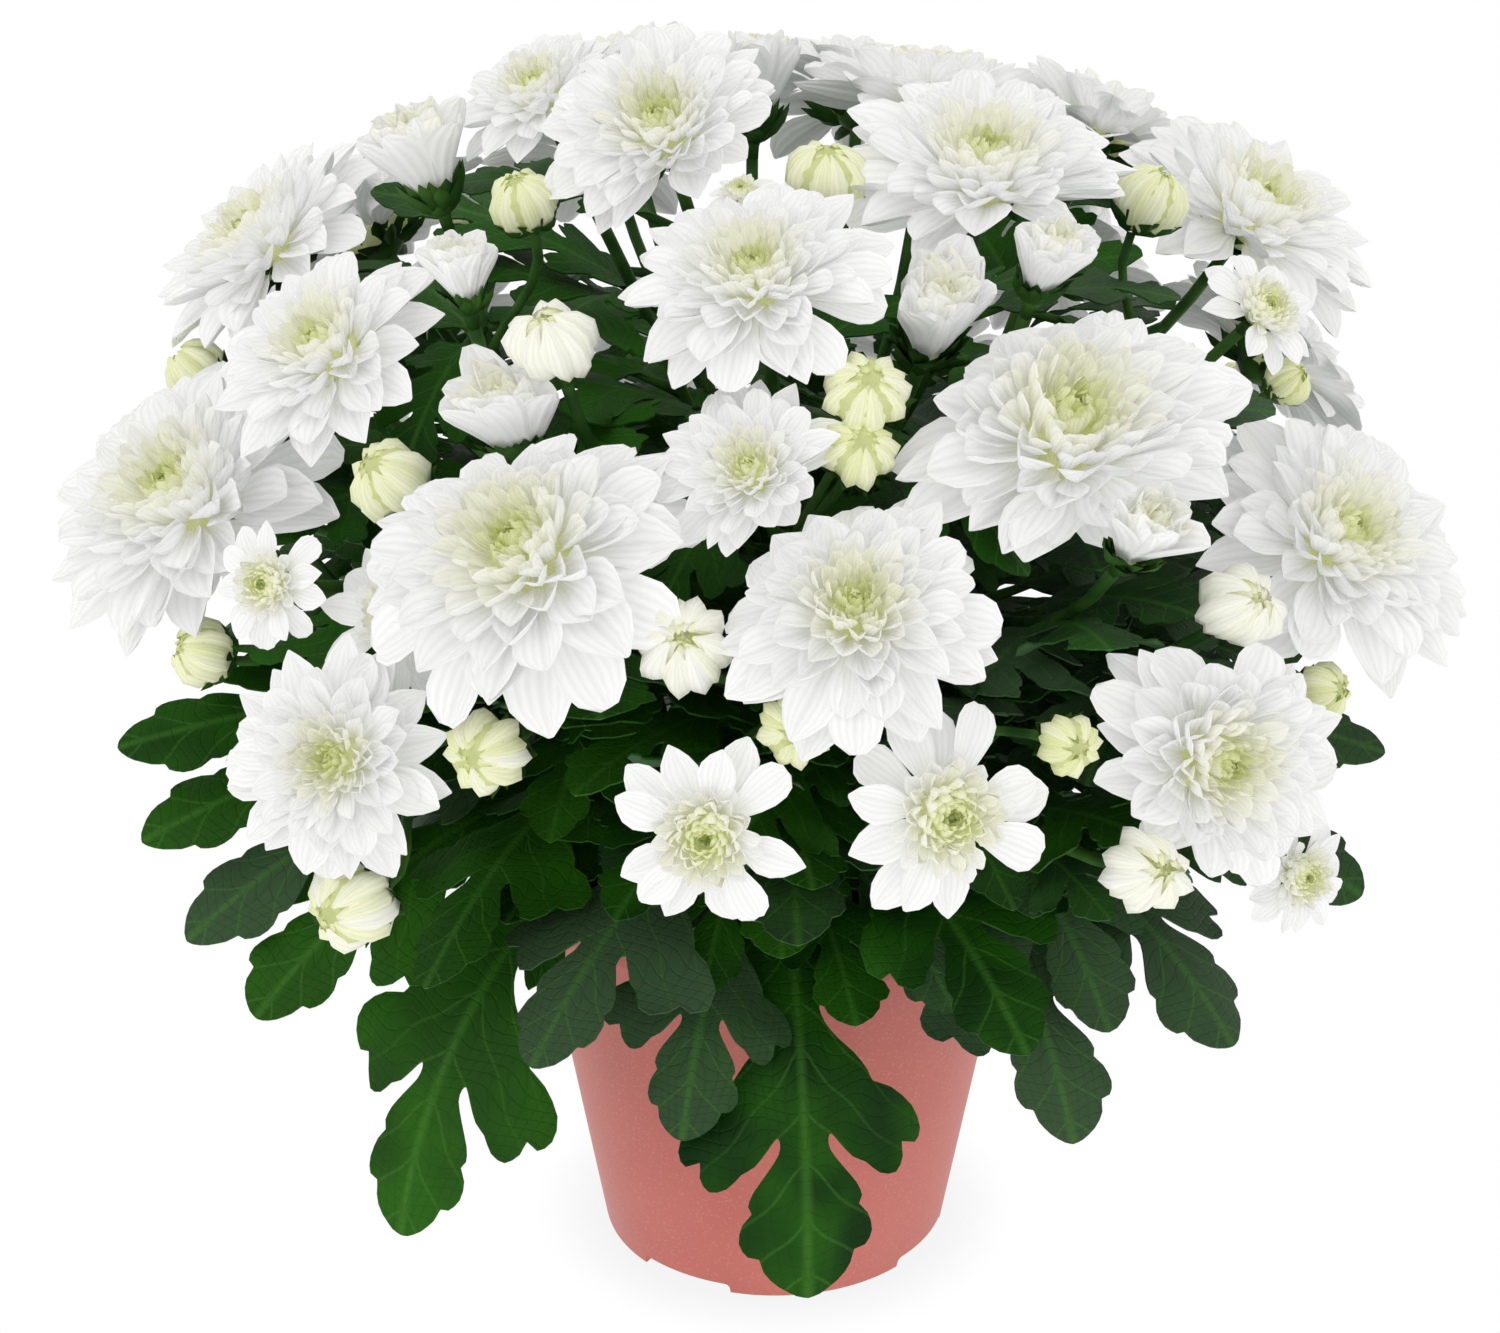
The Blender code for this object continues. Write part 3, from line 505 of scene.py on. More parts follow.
def makeWhorlTree():  # petals round an axis in a spiral, from the outermost to the innermost
    form = whorlForm
    names = ["Radius", "Ease", "Scatter", "Ripple"]
    for name in ("Rise", "Length", "Width", "Reach", "Height", "Shade"):
        names += [name + "_From", name + "_To"]
    tree, given = newTree("petal_spiral", Petals="Collection", Skin="Material", Count="Int", Seed="Int",
                          **dict.fromkeys(names, "Float"))
    index = put(tree, "GeometryNodeInputIndex").outputs[0]
    last = calc(tree, "MAXIMUM", calc(tree, "SUBTRACT", given["Count"], 1.0), 1.0)
    share = calc(tree, "POWER", calc(tree, "DIVIDE", index, last), given["Ease"])

    def along(name):
        return blendOf(tree, given[name + " From"], given[name + " To"], share)

    def dice(kind, offset):  # a random amount to either side
        seed = scaled(tree, given["Seed"], 7.0, float(offset))
        limits = {2: -form[kind], 3: form[kind], 8: seed}
        return put(tree, "FunctionNodeRandomValue", limits, data_type="FLOAT").outputs[1]

    def loose(kind, offset):
        return times(tree, dice(kind, offset), given["Scatter"])

    def vector(x, y, z):
        return put(tree, "ShaderNodeCombineXYZ", {0: x, 1: y, 2: z}).outputs[0]

    golden = math.pi * (3 - math.sqrt(5))
    turn = plus(tree, times(tree, index, golden), loose("turn", 1))
    reach = times(tree, along("Reach"), given["Radius"])
    height = times(tree, along("Height"), given["Radius"])
    seatX = times(tree, calc(tree, "COSINE", turn), reach)
    seatY = times(tree, sine(tree, turn), reach)
    rise = plus(tree, calc(tree, "RADIANS", along("Rise")), loose("rise", 2))
    tilt = vector(loose("roll", 3), times(tree, rise, -1.0), plus(tree, turn, loose("yaw", 4)))
    tilt = put(tree, "FunctionNodeEulerToRotation", {0: tilt}).outputs[0]
    length, width = (
        times(tree, times(tree, along(name), plus(tree, loose(name.lower(), offset), 1.0)), given["Radius"])
        for name, offset in (("Length", 5), ("Width", 6))
    )
    points = put(tree, "GeometryNodePoints", {
        "Count": given["Count"], "Position": vector(seatX, seatY, height),
    }).outputs[0]
    shelf = partsOf(tree, given["Petals"])
    kinds = put(tree, "GeometryNodeAttributeDomainSize", {0: shelf}, component="INSTANCES").outputs[5]
    pick = times(tree, plus(tree, share, dice("kind", 7)), kinds)
    pick = calc(tree, "MINIMUM", calc(tree, "MAXIMUM", pick, 0.0), calc(tree, "SUBTRACT", kinds, 1.0))
    placed = put(tree, "GeometryNodeInstanceOnPoints", {
        "Points": points, "Instance": shelf, "Pick Instance": True, "Instance Index": pick,
        "Rotation": tilt, "Scale": vector(length, width, length),
    }).outputs[0]
    placed = put(tree, "GeometryNodeStoreNamedAttribute", {
        "Geometry": placed, "Name": "depth", "Value": plus(tree, along("Shade"), dice("shade", 8)),
    }, data_type="FLOAT", domain="INSTANCE").outputs[0]
    real = put(tree, "GeometryNodeRealizeInstances", {0: placed}).outputs[0]
    spot = put(tree, "GeometryNodeInputPosition").outputs[0]
    wave = put(tree, "ShaderNodeTexNoise", {
        "Vector": spot, "W": given["Seed"], "Detail": 1.0,
        "Scale": calc(tree, "DIVIDE", form["waves"], given["Radius"]),
    }, noise_dimensions="4D").outputs["Color"]
    wave = put(tree, "ShaderNodeVectorMath", {0: wave, 1: (0.5, 0.5, 0.5)}, operation="SUBTRACT").outputs[0]
    strength = times(tree, given["Ripple"], given["Radius"])
    wave = put(tree, "ShaderNodeVectorMath", {0: wave, "Scale": strength}, operation="SCALE").outputs[0]
    real = put(tree, "GeometryNodeSetPosition", {"Geometry": real, "Offset": wave}).outputs[0]
    return endTree(tree, given, real)


whorlTree = makeWhorlTree()


def whorl(item, skin, radius, seed, kind, count, rise, length, width, reach, height, shade,
          ease=1.0, scatter=1.0, ripple=0.05):  # adds one spiral of petals to an object
    values = {
        "Petals": petalShelf[kind], "Skin": skin, "Count": count, "Seed": seed, "Radius": radius,
        "Ease": ease, "Scatter": scatter, "Ripple": ripple,
    }
    pairs = {"Rise": rise, "Length": length, "Width": width, "Reach": reach, "Height": height, "Shade": shade}
    for name, (first, last) in pairs.items():
        values[name + " From"] = float(first)
        values[name + " To"] = float(last)
    addNodes(item, kind, whorlTree, values)


# Flower heads: where each stands, as in the solids, and how its neighbours press it.

# A ring has its reach, height and half turns; a ring of petals has the tips' and the notches' before these.
openRings = (
    ("ring", 0.17, -0.50, 0),
    ("petals", 1.00, -0.22, 0.60, -0.30, 0),
    ("ring", 0.55, -0.18, 1),
    ("petals", 0.78, -0.08, 0.52, -0.14, 1),
    ("ring", 0.42, -0.10, 0),
    ("petals", 0.50, 0.00, 0.35, -0.07, 0),
    ("ring", 0.18, -0.06, 1),
)
cupRings = (
    ("ring", 0.24, -1.60, 0),
    ("petals", 1.00, -0.16, 0.74, -0.85, 0),
    ("ring", 0.62, -0.62, 1),
    ("petals", 0.62, 0.00, 0.44, -0.30, 1),
    ("ring", 0.22, -0.42, 0),
)
budRings = (
    ("ring", 0.36, -1.75, 0),
    ("ring", 0.98, -1.05, 1),
    ("petals", 0.66, -0.05, 0.62, -0.45, 0),
    ("ring", 0.24, -0.30, 1),
)
stages = {
    "full": (openRings, 10, True),
    "open": (openRings, 9, False),
    "small": (openRings, 8, False),
    "cup": (cupRings, 8, False),
    "opening": (budRings, 6, False),
}
flowers = {  # the eye in mm, the radius in mm, the bearing and rise it faces, and its stage
    "bloom_left_top": ((-119, 8, 251), 32, -75, 52, "open"),
    "bloom_left_cup": ((-76, -28, 282), 13, -75, 74, "cup"),
    "bloom_back_left_top": ((-52, -18, 289), 20, -45, 62, "small"),
    "bloom_crown_left": ((-25, -49, 290), 27, -15, 50, "full"),
    "bloom_crown_small": ((-8, -60, 277), 8, -10, 68, "small"),
    "bloom_crown_front": ((-6, -87, 271), 27, -15, 60, "full"),
    "bloom_crown_back": ((34, 33, 281), 33, 160, 78, "open"),
    "bloom_crown_right": ((42, -49, 284), 32, 10, 68, "full"),
    "bloom_right_top": ((110, 12, 257), 33, 55, 58, "open"),
    "bloom_right_small": ((102, -47, 249), 15, 42, 46, "small"),
    "bloom_inner_cup": ((55, -71, 270), 11, 40, 66, "cup"),
    "bloom_front_cup": ((33, -79, 262), 14, 20, 56, "cup"),
    "bloom_right_great": ((58, -97, 246), 42, 20, 52, "full"),
    "bloom_left_upper": ((-96, -57, 246), 27, -42, 50, "open"),
    "bloom_left_white_bud": ((-64, -74, 268), 9, -40, 74, "cup"),
    "bloom_left_green_bud": ((-46, -93, 261), 9, -26, 66, "opening"),
    "bloom_left_great": ((-132, -43, 210), 38, -48, 50, "full"),
    "bloom_left_inner_cup": ((-55, -92, 247), 14, -30, 66, "cup"),
    "bloom_front_left": ((-53, -116, 226), 38, -32, 46, "full"),
    "bloom_front_middle": ((-7, -112, 238), 19, -15, 44, "small"),
    "bloom_front": ((14, -131, 219), 29, 3, 48, "full"),
    "bloom_right_side": ((120, -67, 208), 33, 38, 46, "full"),
    "bloom_right_opening": ((71, -118, 230), 11, 30, 52, "cup"),
    "bloom_left_button": ((-104, -91, 204), 14, -28, 22, "small"),
    "bloom_left_behind": ((-76, -94, 200), 18, -15, 42, "small"),
    "bloom_left_low": ((-89, -117, 178), 24, -16, 26, "full"),
    "bloom_front_button": ((-15, -148, 175), 20, -8, 8, "small"),
    "bloom_front_star": ((33, -144, 178), 22, 18, 16, "full"),
    "bloom_right_low": ((89, -118, 177), 31, 26, 14, "full"),
    "bloom_right_low_bud": ((74, -133, 162), 9, 20, 24, "opening"),
    "bloom_right_under": ((109, -99, 142), 14, 33, 12, "small"),
    "bloom_right_bud": ((94, -104, 207), 9, 36, 42, "opening"),
    "bloom_front_bud": ((-19, -133, 211), 9, -6, 38, "opening"),
    "bloom_back_upper_left": ((-38, 52, 279), 30, -145, 68, "open"),
    "bloom_back_upper": ((22, 96, 264), 31, 168, 54, "open"),
    "bloom_back_upper_right": ((80, 62, 264), 30, 128, 56, "open"),
    "bloom_back_left": ((-44, 110, 247), 32, -158, 44, "open"),
    "bloom_left_back": ((-102, 68, 238), 32, -124, 46, "open"),
    "bloom_back_right": ((74, 114, 217), 32, 147, 36, "open"),
    "bloom_right_back": ((126, 64, 207), 31, 117, 38, "open"),
    "bloom_right_behind": ((147, 8, 176), 28, 80, 32, "open"),
    "bloom_left_behind_low": ((-140, 22, 188), 25, -98, 28, "open"),
    "bloom_back_left_low": ((-96, 112, 194), 30, -139, 28, "open"),
    "bloom_back_low": ((-22, 143, 186), 30, -172, 26, "open"),
    "bloom_back_right_low": ((44, 141, 176), 27, 163, 22, "open"),
    "bloom_right_back_low": ((106, 108, 166), 28, 135, 20, "open"),
    "bloom_left_back_low": ((-143, 62, 158), 25, -114, 16, "open"),
    "bloom_back_button": ((-62, 134, 152), 18, -156, 14, "small"),
    "bloom_back_cup": ((-5, 58, 278), 14, 175, 78, "cup"),
}

headForm = {
    "jitter": 0.10, "shortest": 0.91, "uneven": 0.06,
    "shoulder": 0.30, "shoulderReach": 0.82, "shoulderRise": 0.03,
    "pressed": 0.4, "neighbours": 90 * mm, "rounds": 4,
}


def ringPoints(ring, petals, shoulders, dice):
    form = headForm
    pitch = 2 * math.pi / petals
    shift = ring[-1] * pitch / 2
    found = []
    if ring[0] == "ring":
        for i in range(petals):
            found.append((i * pitch + shift, ring[1], ring[2]))
        return found
    tip, tipZ, notch, notchZ = ring[1:5]
    for i in range(petals):
        middle = i * pitch + shift + dice.uniform(-form["jitter"], form["jitter"]) * pitch
        reach = tip * dice.uniform(form["shortest"], 1.0)
        height = tipZ + form["uneven"] * dice.uniform(-1, 1) * tip
        tips = [(middle, reach, height)]
        if shoulders:
            side = form["shoulder"] * pitch
            low = (form["shoulderReach"] * reach, height + form["shoulderRise"])
            tips = [(middle - side, *low), *tips, (middle + side, *low)]
        found += tips
        found.append(((i + 0.5) * pitch + shift, notch, notchZ))
    return found


def zipRings(low, high):  # triangles between two rings given as (first index, angles)
    (startA, anglesA), (startB, anglesB) = low, high
    faces = []
    i = 0
    j = 0
    shift = min(range(len(anglesB)), key=lambda k: abs(anglesB[k] - anglesA[0]))

    def angle(angles, k):
        return angles[k % len(angles)] + 2 * math.pi * (k // len(angles))

    while i < len(anglesA) or j < len(anglesB):
        a = startA + i % len(anglesA)
        b = startB + (j + shift) % len(anglesB)
        turnA = angle(anglesA, i + 1) + angle(anglesA, i)
        turnB = angle(anglesB, j + shift + 1) + angle(anglesB, j + shift)
        if i < len(anglesA) and (j >= len(anglesB) or turnA <= turnB):
            faces.append((a, startA + (i + 1) % len(anglesA), b))
            i += 1
        else:
            faces.append((a, startB + (j + 1 + shift) % len(anglesB), b))
            j += 1
    return faces


def headShape(radius, stage, dice):  # the plain form of a head, its eye at the origin, facing +Z
    rings, petals, shoulders = stages[stage]
    verts = [Vector((0, 0, rings[0][2] * radius))]
    faces = []
    before = None
    for ring in rings:
        wide = shoulders and ring is rings[1]
        points = ringPoints(ring, petals, wide, dice)
        first = len(verts)
        for angle, reach, height in points:
            out = reach * radius
            verts.append(Vector((out * math.cos(angle), out * math.sin(angle), height * radius)))
        angles = [point[0] for point in points]
        if before is None:
            for i in range(len(points)):
                faces.append((0, first + (i + 1) % len(points), first + i))
        else:
            faces += zipRings(before, (first, angles))
        before = (first, angles)
    first, angles = before
    verts.append(Vector((0, 0, (rings[-1][2] - 0.03) * radius)))
    for i in range(len(angles)):
        faces.append((first + i, first + (i + 1) % len(angles), len(verts) - 1))
    return verts, faces


def treeOf(verts, faces, margin=0.0):
    return BVHTree.FromPolygons([tuple(v) for v in verts], faces, epsilon=margin)


def press(head, way, reach, limit):  # squeezes the outer half of a head along one direction
    start = headForm["pressed"] * limit
    squeeze = (limit - start) / (reach - start)
    for v in head["verts"]:
        far = (v - head["middle"]).dot(way)
        if far > start:
            v += way * ((far - start) * (squeeze - 1))
    head["presses"].append((np.array(way), start, squeeze))


def pressApart(one, two):
    between = two["middle"] - one["middle"]
    distance = between.length
    if distance > headForm["neighbours"]:
        return 0
    tree = treeOf(one["verts"], one["faces"], gap)
    if not tree.overlap(treeOf(two["verts"], two["faces"], gap)):
        return 0
    way = between / distance
    reachOne = max((v - one["middle"]).dot(way) for v in one["verts"])
    reachTwo = max((two["middle"] - v).dot(way) for v in two["verts"])
    if reachOne + reachTwo <= distance - 2 * gap:
        return 0
    share = (distance - 3 * gap) / (reachOne + reachTwo)
    press(one, way, reachOne, reachOne * share)
    press(two, -way, reachTwo, reachTwo * share)
    return 1


def makeHeads():
    heads = {}
    for number, (name, flower) in enumerate(flowers.items()):
        eye, radius, bearing, rise, stage = flower
        dice = random.Random(100 + number)
        axis = aim(bearing, rise)
        verts, faces = headShape(radius * mm, stage, dice)
        turn = axis.to_track_quat("Z", "Y").to_matrix() @ Matrix.Rotation(dice.uniform(0, 6.28), 3, "Z")
        centre = Vector(eye) * mm
        verts = [turn @ v + centre for v in verts]
        middle = sum(verts, Vector()) / len(verts)
        heads[name] = {"verts": verts, "faces": faces, "axis": axis, "middle": middle,
                       "turn": turn, "eye": centre, "presses": []}
    names = list(heads)
    for _ in range(headForm["rounds"]):
        met = 0
        for i, first in enumerate(names):
            for second in names[i + 1:]:
                met += pressApart(heads[first], heads[second])
        if not met:
            break
    for head in heads.values():
        head["tree"] = treeOf(head["verts"], head["faces"])
    return heads


def placeHead(head, points):  # points round an eye at the origin, moved to where the head is
    points = points @ np.array(head["turn"]).T + np.array(head["eye"])
    middle = np.array(head["middle"])
    for way, start, squeeze in head["presses"]:
        far = (points - middle) @ way
        points = points + np.outer(np.where(far > start, (far - start) * (squeeze - 1), 0), way)
    return points


heads = makeHeads()
print("heads placed")


# Blooms: spirals of petals on a small dome, one piece for each head.

bloomStyles = {  # kind, count, rise, length, width, seat's reach and height, shade, ease, scatter and ripple
    "full": [
        ("ray", 20, (-4, 9), (0.76, 0.68), (0.4, 0.36), (0.26, 0.27), (-0.38, -0.34), (0, 0.15)),
        ("layer", 34, (9, 36), (0.62, 0.44), (0.32, 0.23), (0.27, 0.24), (-0.34, -0.29), (0.15, 0.45), 0.9),
        ("inner", 46, (36, 62), (0.4, 0.26), (0.2, 0.12), (0.24, 0.16), (-0.29, -0.23), (0.42, 0.62), 0.9),
        ("heart", 50, (60, 86), (0.23, 0.11), (0.1, 0.06), (0.16, 0.012), (-0.22, -0.17), (0.62, 1), 0.7),
    ],
    "open": [
        ("ray", 18, (-4, 9), (0.76, 0.68), (0.4, 0.36), (0.26, 0.27), (-0.38, -0.34), (0, 0.15)),
        ("layer", 28, (9, 36), (0.62, 0.44), (0.33, 0.24), (0.27, 0.24), (-0.34, -0.29), (0.15, 0.45), 0.9),
        ("inner", 36, (36, 62), (0.4, 0.26), (0.21, 0.14), (0.24, 0.16), (-0.29, -0.23), (0.42, 0.62), 0.9),
        ("heart", 38, (60, 86), (0.23, 0.12), (0.11, 0.07), (0.16, 0.012), (-0.22, -0.17), (0.62, 1), 0.7),
    ],
    "small": [
        ("ray", 12, (-4, 8), (0.72, 0.66), (0.42, 0.38), (0.26, 0.27), (-0.38, -0.34), (0, 0.2)),
        ("inner", 24, (14, 36), (0.36, 0.3), (0.2, 0.17), (0.27, 0.25), (-0.34, -0.29), (0.4, 0.56), 0.9),
        ("boss", 30, (28, 54), (0.34, 0.25), (0.17, 0.14), (0.27, 0.2), (-0.31, -0.25), (0.54, 0.68), 0.9),
        ("boss", 40, (50, 76), (0.24, 0.15), (0.14, 0.1), (0.22, 0.11), (-0.26, -0.21), (0.64, 0.82), 0.9),
        ("heart", 26, (74, 88), (0.14, 0.08), (0.09, 0.06), (0.11, 0.012), (-0.2, -0.19), (0.86, 1), 0.8),
    ],
    "cup": [
        ("cup", 13, (56, 66), (1.72, 1.62), (0.8, 0.66), (0.1, 0.09), (-1.55, -1.45), (0.35, 0.52), 1, 0.6),
        ("cup", 16, (68, 80), (1.58, 1.28), (0.56, 0.38), (0.1, 0.06), (-1.45, -1.35), (0.52, 0.68), 1, 0.6),
        ("heart", 26, (74, 86), (1.25, 0.95), (0.24, 0.15), (0.12, 0.02), (-1.35, -1.3), (0.7, 0.92), 1, 0.6),
    ],
    "opening": [
        ("wrap", 10, (50, 52), (2.52, 2.42), (0.86, 0.8), (0.16, 0.15), (-1.8, -1.76), (0.54, 0.64), 1, 0.3),
        ("wrap", 10, (53, 58), (2.3, 2.1), (0.72, 0.6), (0.14, 0.12), (-1.72, -1.64), (0.62, 0.74), 1, 0.3),
        ("heart", 14, (72, 84), (1.45, 1.2), (0.34, 0.24), (0.14, 0.02), (-1.5, -1.4), (0.72, 0.92), 1, 0.4),
    ],
}
otherStyles = {  # heads that are more or less open than their solids' stage says
    "bloom_front_star": "small", "bloom_front_middle": "open", "bloom_back_left_top": "open",
}
coreRings = {  # the dome that bears the petals, as (reach, height) of its rings
    "open": [(0, -0.50), (0.14, -0.49), (0.24, -0.44), (0.28, -0.36), (0.24, -0.28), (0.14, -0.22),
             (0, -0.19)],
    "cup": [(0, -1.60), (0.12, -1.59), (0.22, -1.54), (0.24, -1.46), (0.17, -1.38), (0.08, -1.34),
            (0, -1.33)],
    "opening": [(0, -1.66), (0.26, -1.60), (0.52, -1.32), (0.60, -0.98), (0.50, -0.70), (0.24, -0.54),
                (0, -0.50)],
}
coreShade = 0.86


def turnedMesh(name, rings, sides, size=1.0):  # closed rings about Z; a ring of no reach is one point
    verts = []
    rows = []
    for reach, height in rings:
        row = []
        for k in range(sides if reach else 1):
            turn = 2 * math.pi * k / sides
            row.append(len(verts))
            verts.append((reach * size * math.cos(turn), reach * size * math.sin(turn), height * size))
        rows.append(row)
    faces = []
    for low, high in zip(rows, rows[1:]):
        for k in range(sides):
            n = (k + 1) % sides
            corners = [low[k % len(low)], low[n % len(low)], high[n % len(high)], high[k % len(high)]]
            faces.append(list(dict.fromkeys(corners)))
    mesh = newMesh(name, verts, faces)
    mesh.shade_smooth()
    return mesh


def petalCore(name, rings, sides, size, shade):  # the closed core that bears the petals
    core = turnedMesh(name, rings, sides, size)
    core.attributes.new("depth", "FLOAT", "POINT").data.foreach_set("value", [shade] * len(core.vertices))
    core.uv_layers.new(name="UVMap")
    core.materials.append(petalSkin)
    return core


def makeBloom(name, number):
    radius = flowers[name][1] * mm
    stage = flowers[name][4]
    rings = coreRings.get(stage, coreRings["open"])
    item = newObject("petals_" + name, petalCore(name, rings, 12, radius, coreShade))
    for step, style in enumerate(bloomStyles[otherStyles.get(name, stage)]):
        whorl(item, petalSkin, radius, 10 * number + step, *style)
    mesh = baked(item)
    setPoints(mesh, placeHead(heads[name], pointsOf(mesh)))
    mesh.shade_smooth()
    return item


blooms = {name: makeBloom(name, number) for number, name in enumerate(flowers)}
print("blooms", len(blooms), sum(len(item.data.polygons) for item in blooms.values()), "faces")


# Growth: main stems, flower stems, buds and leaves take the same courses as in the solids.

growth = {
    "stemRadius": 3.0 * mm,
    "stemTaper": (1.0, 1.0, 0.95, 0.8),
    "sprayRadius": 1.4 * mm,
    "sprayRoom": 2.2 * mm,
    "budStemRadius": 1.1 * mm,
    "budStemRoom": 1.8 * mm,
    "jointOffset": 1.1 * mm,
    "joints": (118 * mm, 150 * mm),
    "stemReach": 26 * mm,  # where the outer stems leave the soil
    "bendHeight": 124 * mm,
    "forkReach": 40 * mm,
    "forkHeight": 152 * mm,
    "centreReach": 66 * mm,  # flowers nearer the middle grow from the middle stem
    "soilTop": 94 * mm,
    "holeDepth": 20 * mm,
    "tries": 60,
    "spread": 3 * mm,  # how much further each try may stray
    "lean": 0.3,
    "lift": 0.35,
    "ending": 0.4,
    "thickFoot": 1.2,
    "openCup": 0.17,  # the cup's reach as a share of the flower's radius
    "closedCup": 0.26,
    "cupRoom": 1.5,
    "neck": (0.16, 2 * mm),
    "top": (1.4, 2.4 * mm),
    "leafRoom": 0.5 * mm,
    "tierSpread": 4,
    "upperTurn": 60,
    "upperShape": (22, 50),
}
budForm = {"spread": 0.15, "rings": ((1.6, 0.85), (0.7, 1.08), (0.0, 0.3)), "room": 1.06, "base": 2.1}
leafSearch = {"tries": 16, "turn": 1.6, "rise": 2.0, "lift": 0.4, "roll": 2.0, "shrink": 0.02}
stemBearings = {"middle": 0, "front": 0, "front_right": 60, "back_right": 120,
                "back": 180, "back_left": 240, "front_left": 300}
solidLeaf = {  # a leaf as the solids have it
    "thickness": 1.6 * mm, "edge": 0.5 * mm, "droop": 0.16,
    "stalk": 0.9 * mm, "petiole": 1.3 * mm, "stalkFaces": 9,
    "rows": ((0.00, 0.00, 0.00), (0.20, 0.00, 0.00), (0.36, 0.60, 0.10), (0.43, 0.22, 0.00),
             (0.64, 1.00, 0.12), (0.71, 0.32, 0.00), (0.86, 0.52, 0.06), (1.00, 0.00, 0.00)),
}
budPlaces = (  # the tip in mm, the radius in mm, the bearing and rise
    ((-53, -47, 275), 7, -40, 66),
    ((11, -52, 284), 8, 15, 74),
    ((15, -106, 252), 8, 8, 46),
    ((-86, -80, 230), 8, -46, 46),
    ((3, -142, 195), 7, 4, 18),
    ((-60, -130, 184), 8, -24, 14),
    ((-91, -122, 145), 9, -36, 4),
    ((22, -114, 235), 7, 12, 44),
    ((117, -85, 180), 6, 52, 20),
    ((110, -44, 233), 5, 66, 40),
    ((-128, -2, 226), 7, -90, 46),
    ((-127, -68, 182), 7, -62, 26),
    ((52, -136, 182), 6, 22, 14),
    ((83, -14, 268), 8, 80, 64),
    ((58, 100, 246), 7, 150, 50),
    ((-78, 96, 232), 6, -140, 44),
    ((122, 94, 186), 6, 128, 28),
    ((-126, 94, 176), 6, -126, 24),
)
shownLeaves = (  # stem, joint height, bearing, rise, bend, length, half width and roll
    ("front", 118, 5, -2, 86, 115, 27, 0),
    ("front", 121, -17, 4, 70, 86, 20, -14),
    ("front", 120, 23, 2, 72, 90, 20, 14),
    ("front_left", 118, -42, -4, 76, 122, 26, -6),
    ("front_left", 117, -25, 0, 74, 98, 19, -16),
    ("front_left", 147, -74, 14, 26, 114, 20, 4),
    ("front_left", 143, -70, 10, 34, 114, 18, 0),
    ("front_left", 138, -64, 8, 46, 114, 21, 0),
    ("front_left", 131, -56, 6, 52, 110, 21, 0),
    ("front_right", 124, 25, 2, 66, 102, 23, 8),
    ("front_right", 127, 48, 8, 58, 104, 25, 8),
    ("front_right", 140, 66, 8, 40, 108, 21, -6),
    ("front_right", 150, 76, 10, 26, 102, 17, 0),
)
leafTiers = (  # joint height, rise, bend, length, half width, and bearings from the stem's own
    (120, 4, 70, 92, 22, (-24, 24)),
    (134, 8, 52, 98, 24, (-34, 34)),
    (148, 16, 34, 96, 23, (2,)),
    (150, 44, 46, 92, 23, (-30, 28)),
)
upperLeaves = ((0.45, 58, 15), (0.62, 50, 13))  # share of the flower stem, length and half width


def tube(name, points, radii, rounds=0):  # a stem with round section, as a closed mesh object
    curve = bpy.data.curves.new(name, "CURVE")
    curve.dimensions = "3D"
    curve.bevel_depth = 1.0
    curve.bevel_resolution = rounds
    curve.use_fill_caps = True
    spline = curve.splines.new("POLY")
    spline.points.add(len(points) - 1)
    for place, point, radius in zip(spline.points, points, radii):
        place.co = (*point, 1)
        place.radius = radius
    guide = newObject(name, curve)
    mesh = evaluatedMesh(guide)
    bpy.data.objects.remove(guide)
    bm = bmesh.new()
    bm.from_mesh(mesh)
    bmesh.ops.remove_doubles(bm, verts=bm.verts, dist=0.00001)
    bmesh.ops.recalc_face_normals(bm, faces=bm.faces)
    bm.to_mesh(mesh)
    bm.free()
    return mesh


def bezier(a, b, c, d, count):
    found = []
    for i in range(count):
        t = i / (count - 1)
        s = 1 - t
        found.append(a * s**3 + b * (3 * s * s * t) + c * (3 * s * t * t) + d * t**3)
    return found


class LeafLine:  # the arching middle line of a leaf, and the frame at any share of it
    def __init__(self, root, bearing, rise, bend, length, halfWidth, roll):
        self.steps = 40
        self.bearing = bearing
        self.halfWidth = halfWidth
        self.roll = roll
        point = Vector(root)
        self.line = [point.copy()]
        self.turns = []
        for i in range(self.steps):
            t = (i + 0.5) / self.steps
            self.turns.append(rise - bend * t)
            point += aim(bearing, self.turns[-1]) * (length / self.steps)
            self.line.append(point.copy())
        self.turns.append(self.turns[-1])

    def frame(self, t):
        where = min(max(t, 0), 1) * self.steps
        index = min(int(where), self.steps - 1)
        middle = self.line[index].lerp(self.line[index + 1], where - index)
        ahead = aim(self.bearing, self.turns[index])
        side = Vector((math.cos(math.radians(self.bearing)), math.sin(math.radians(self.bearing)), 0))
        side.rotate(Matrix.Rotation(math.radians(self.roll), 3, ahead))
        return middle, side, ahead.cross(side)


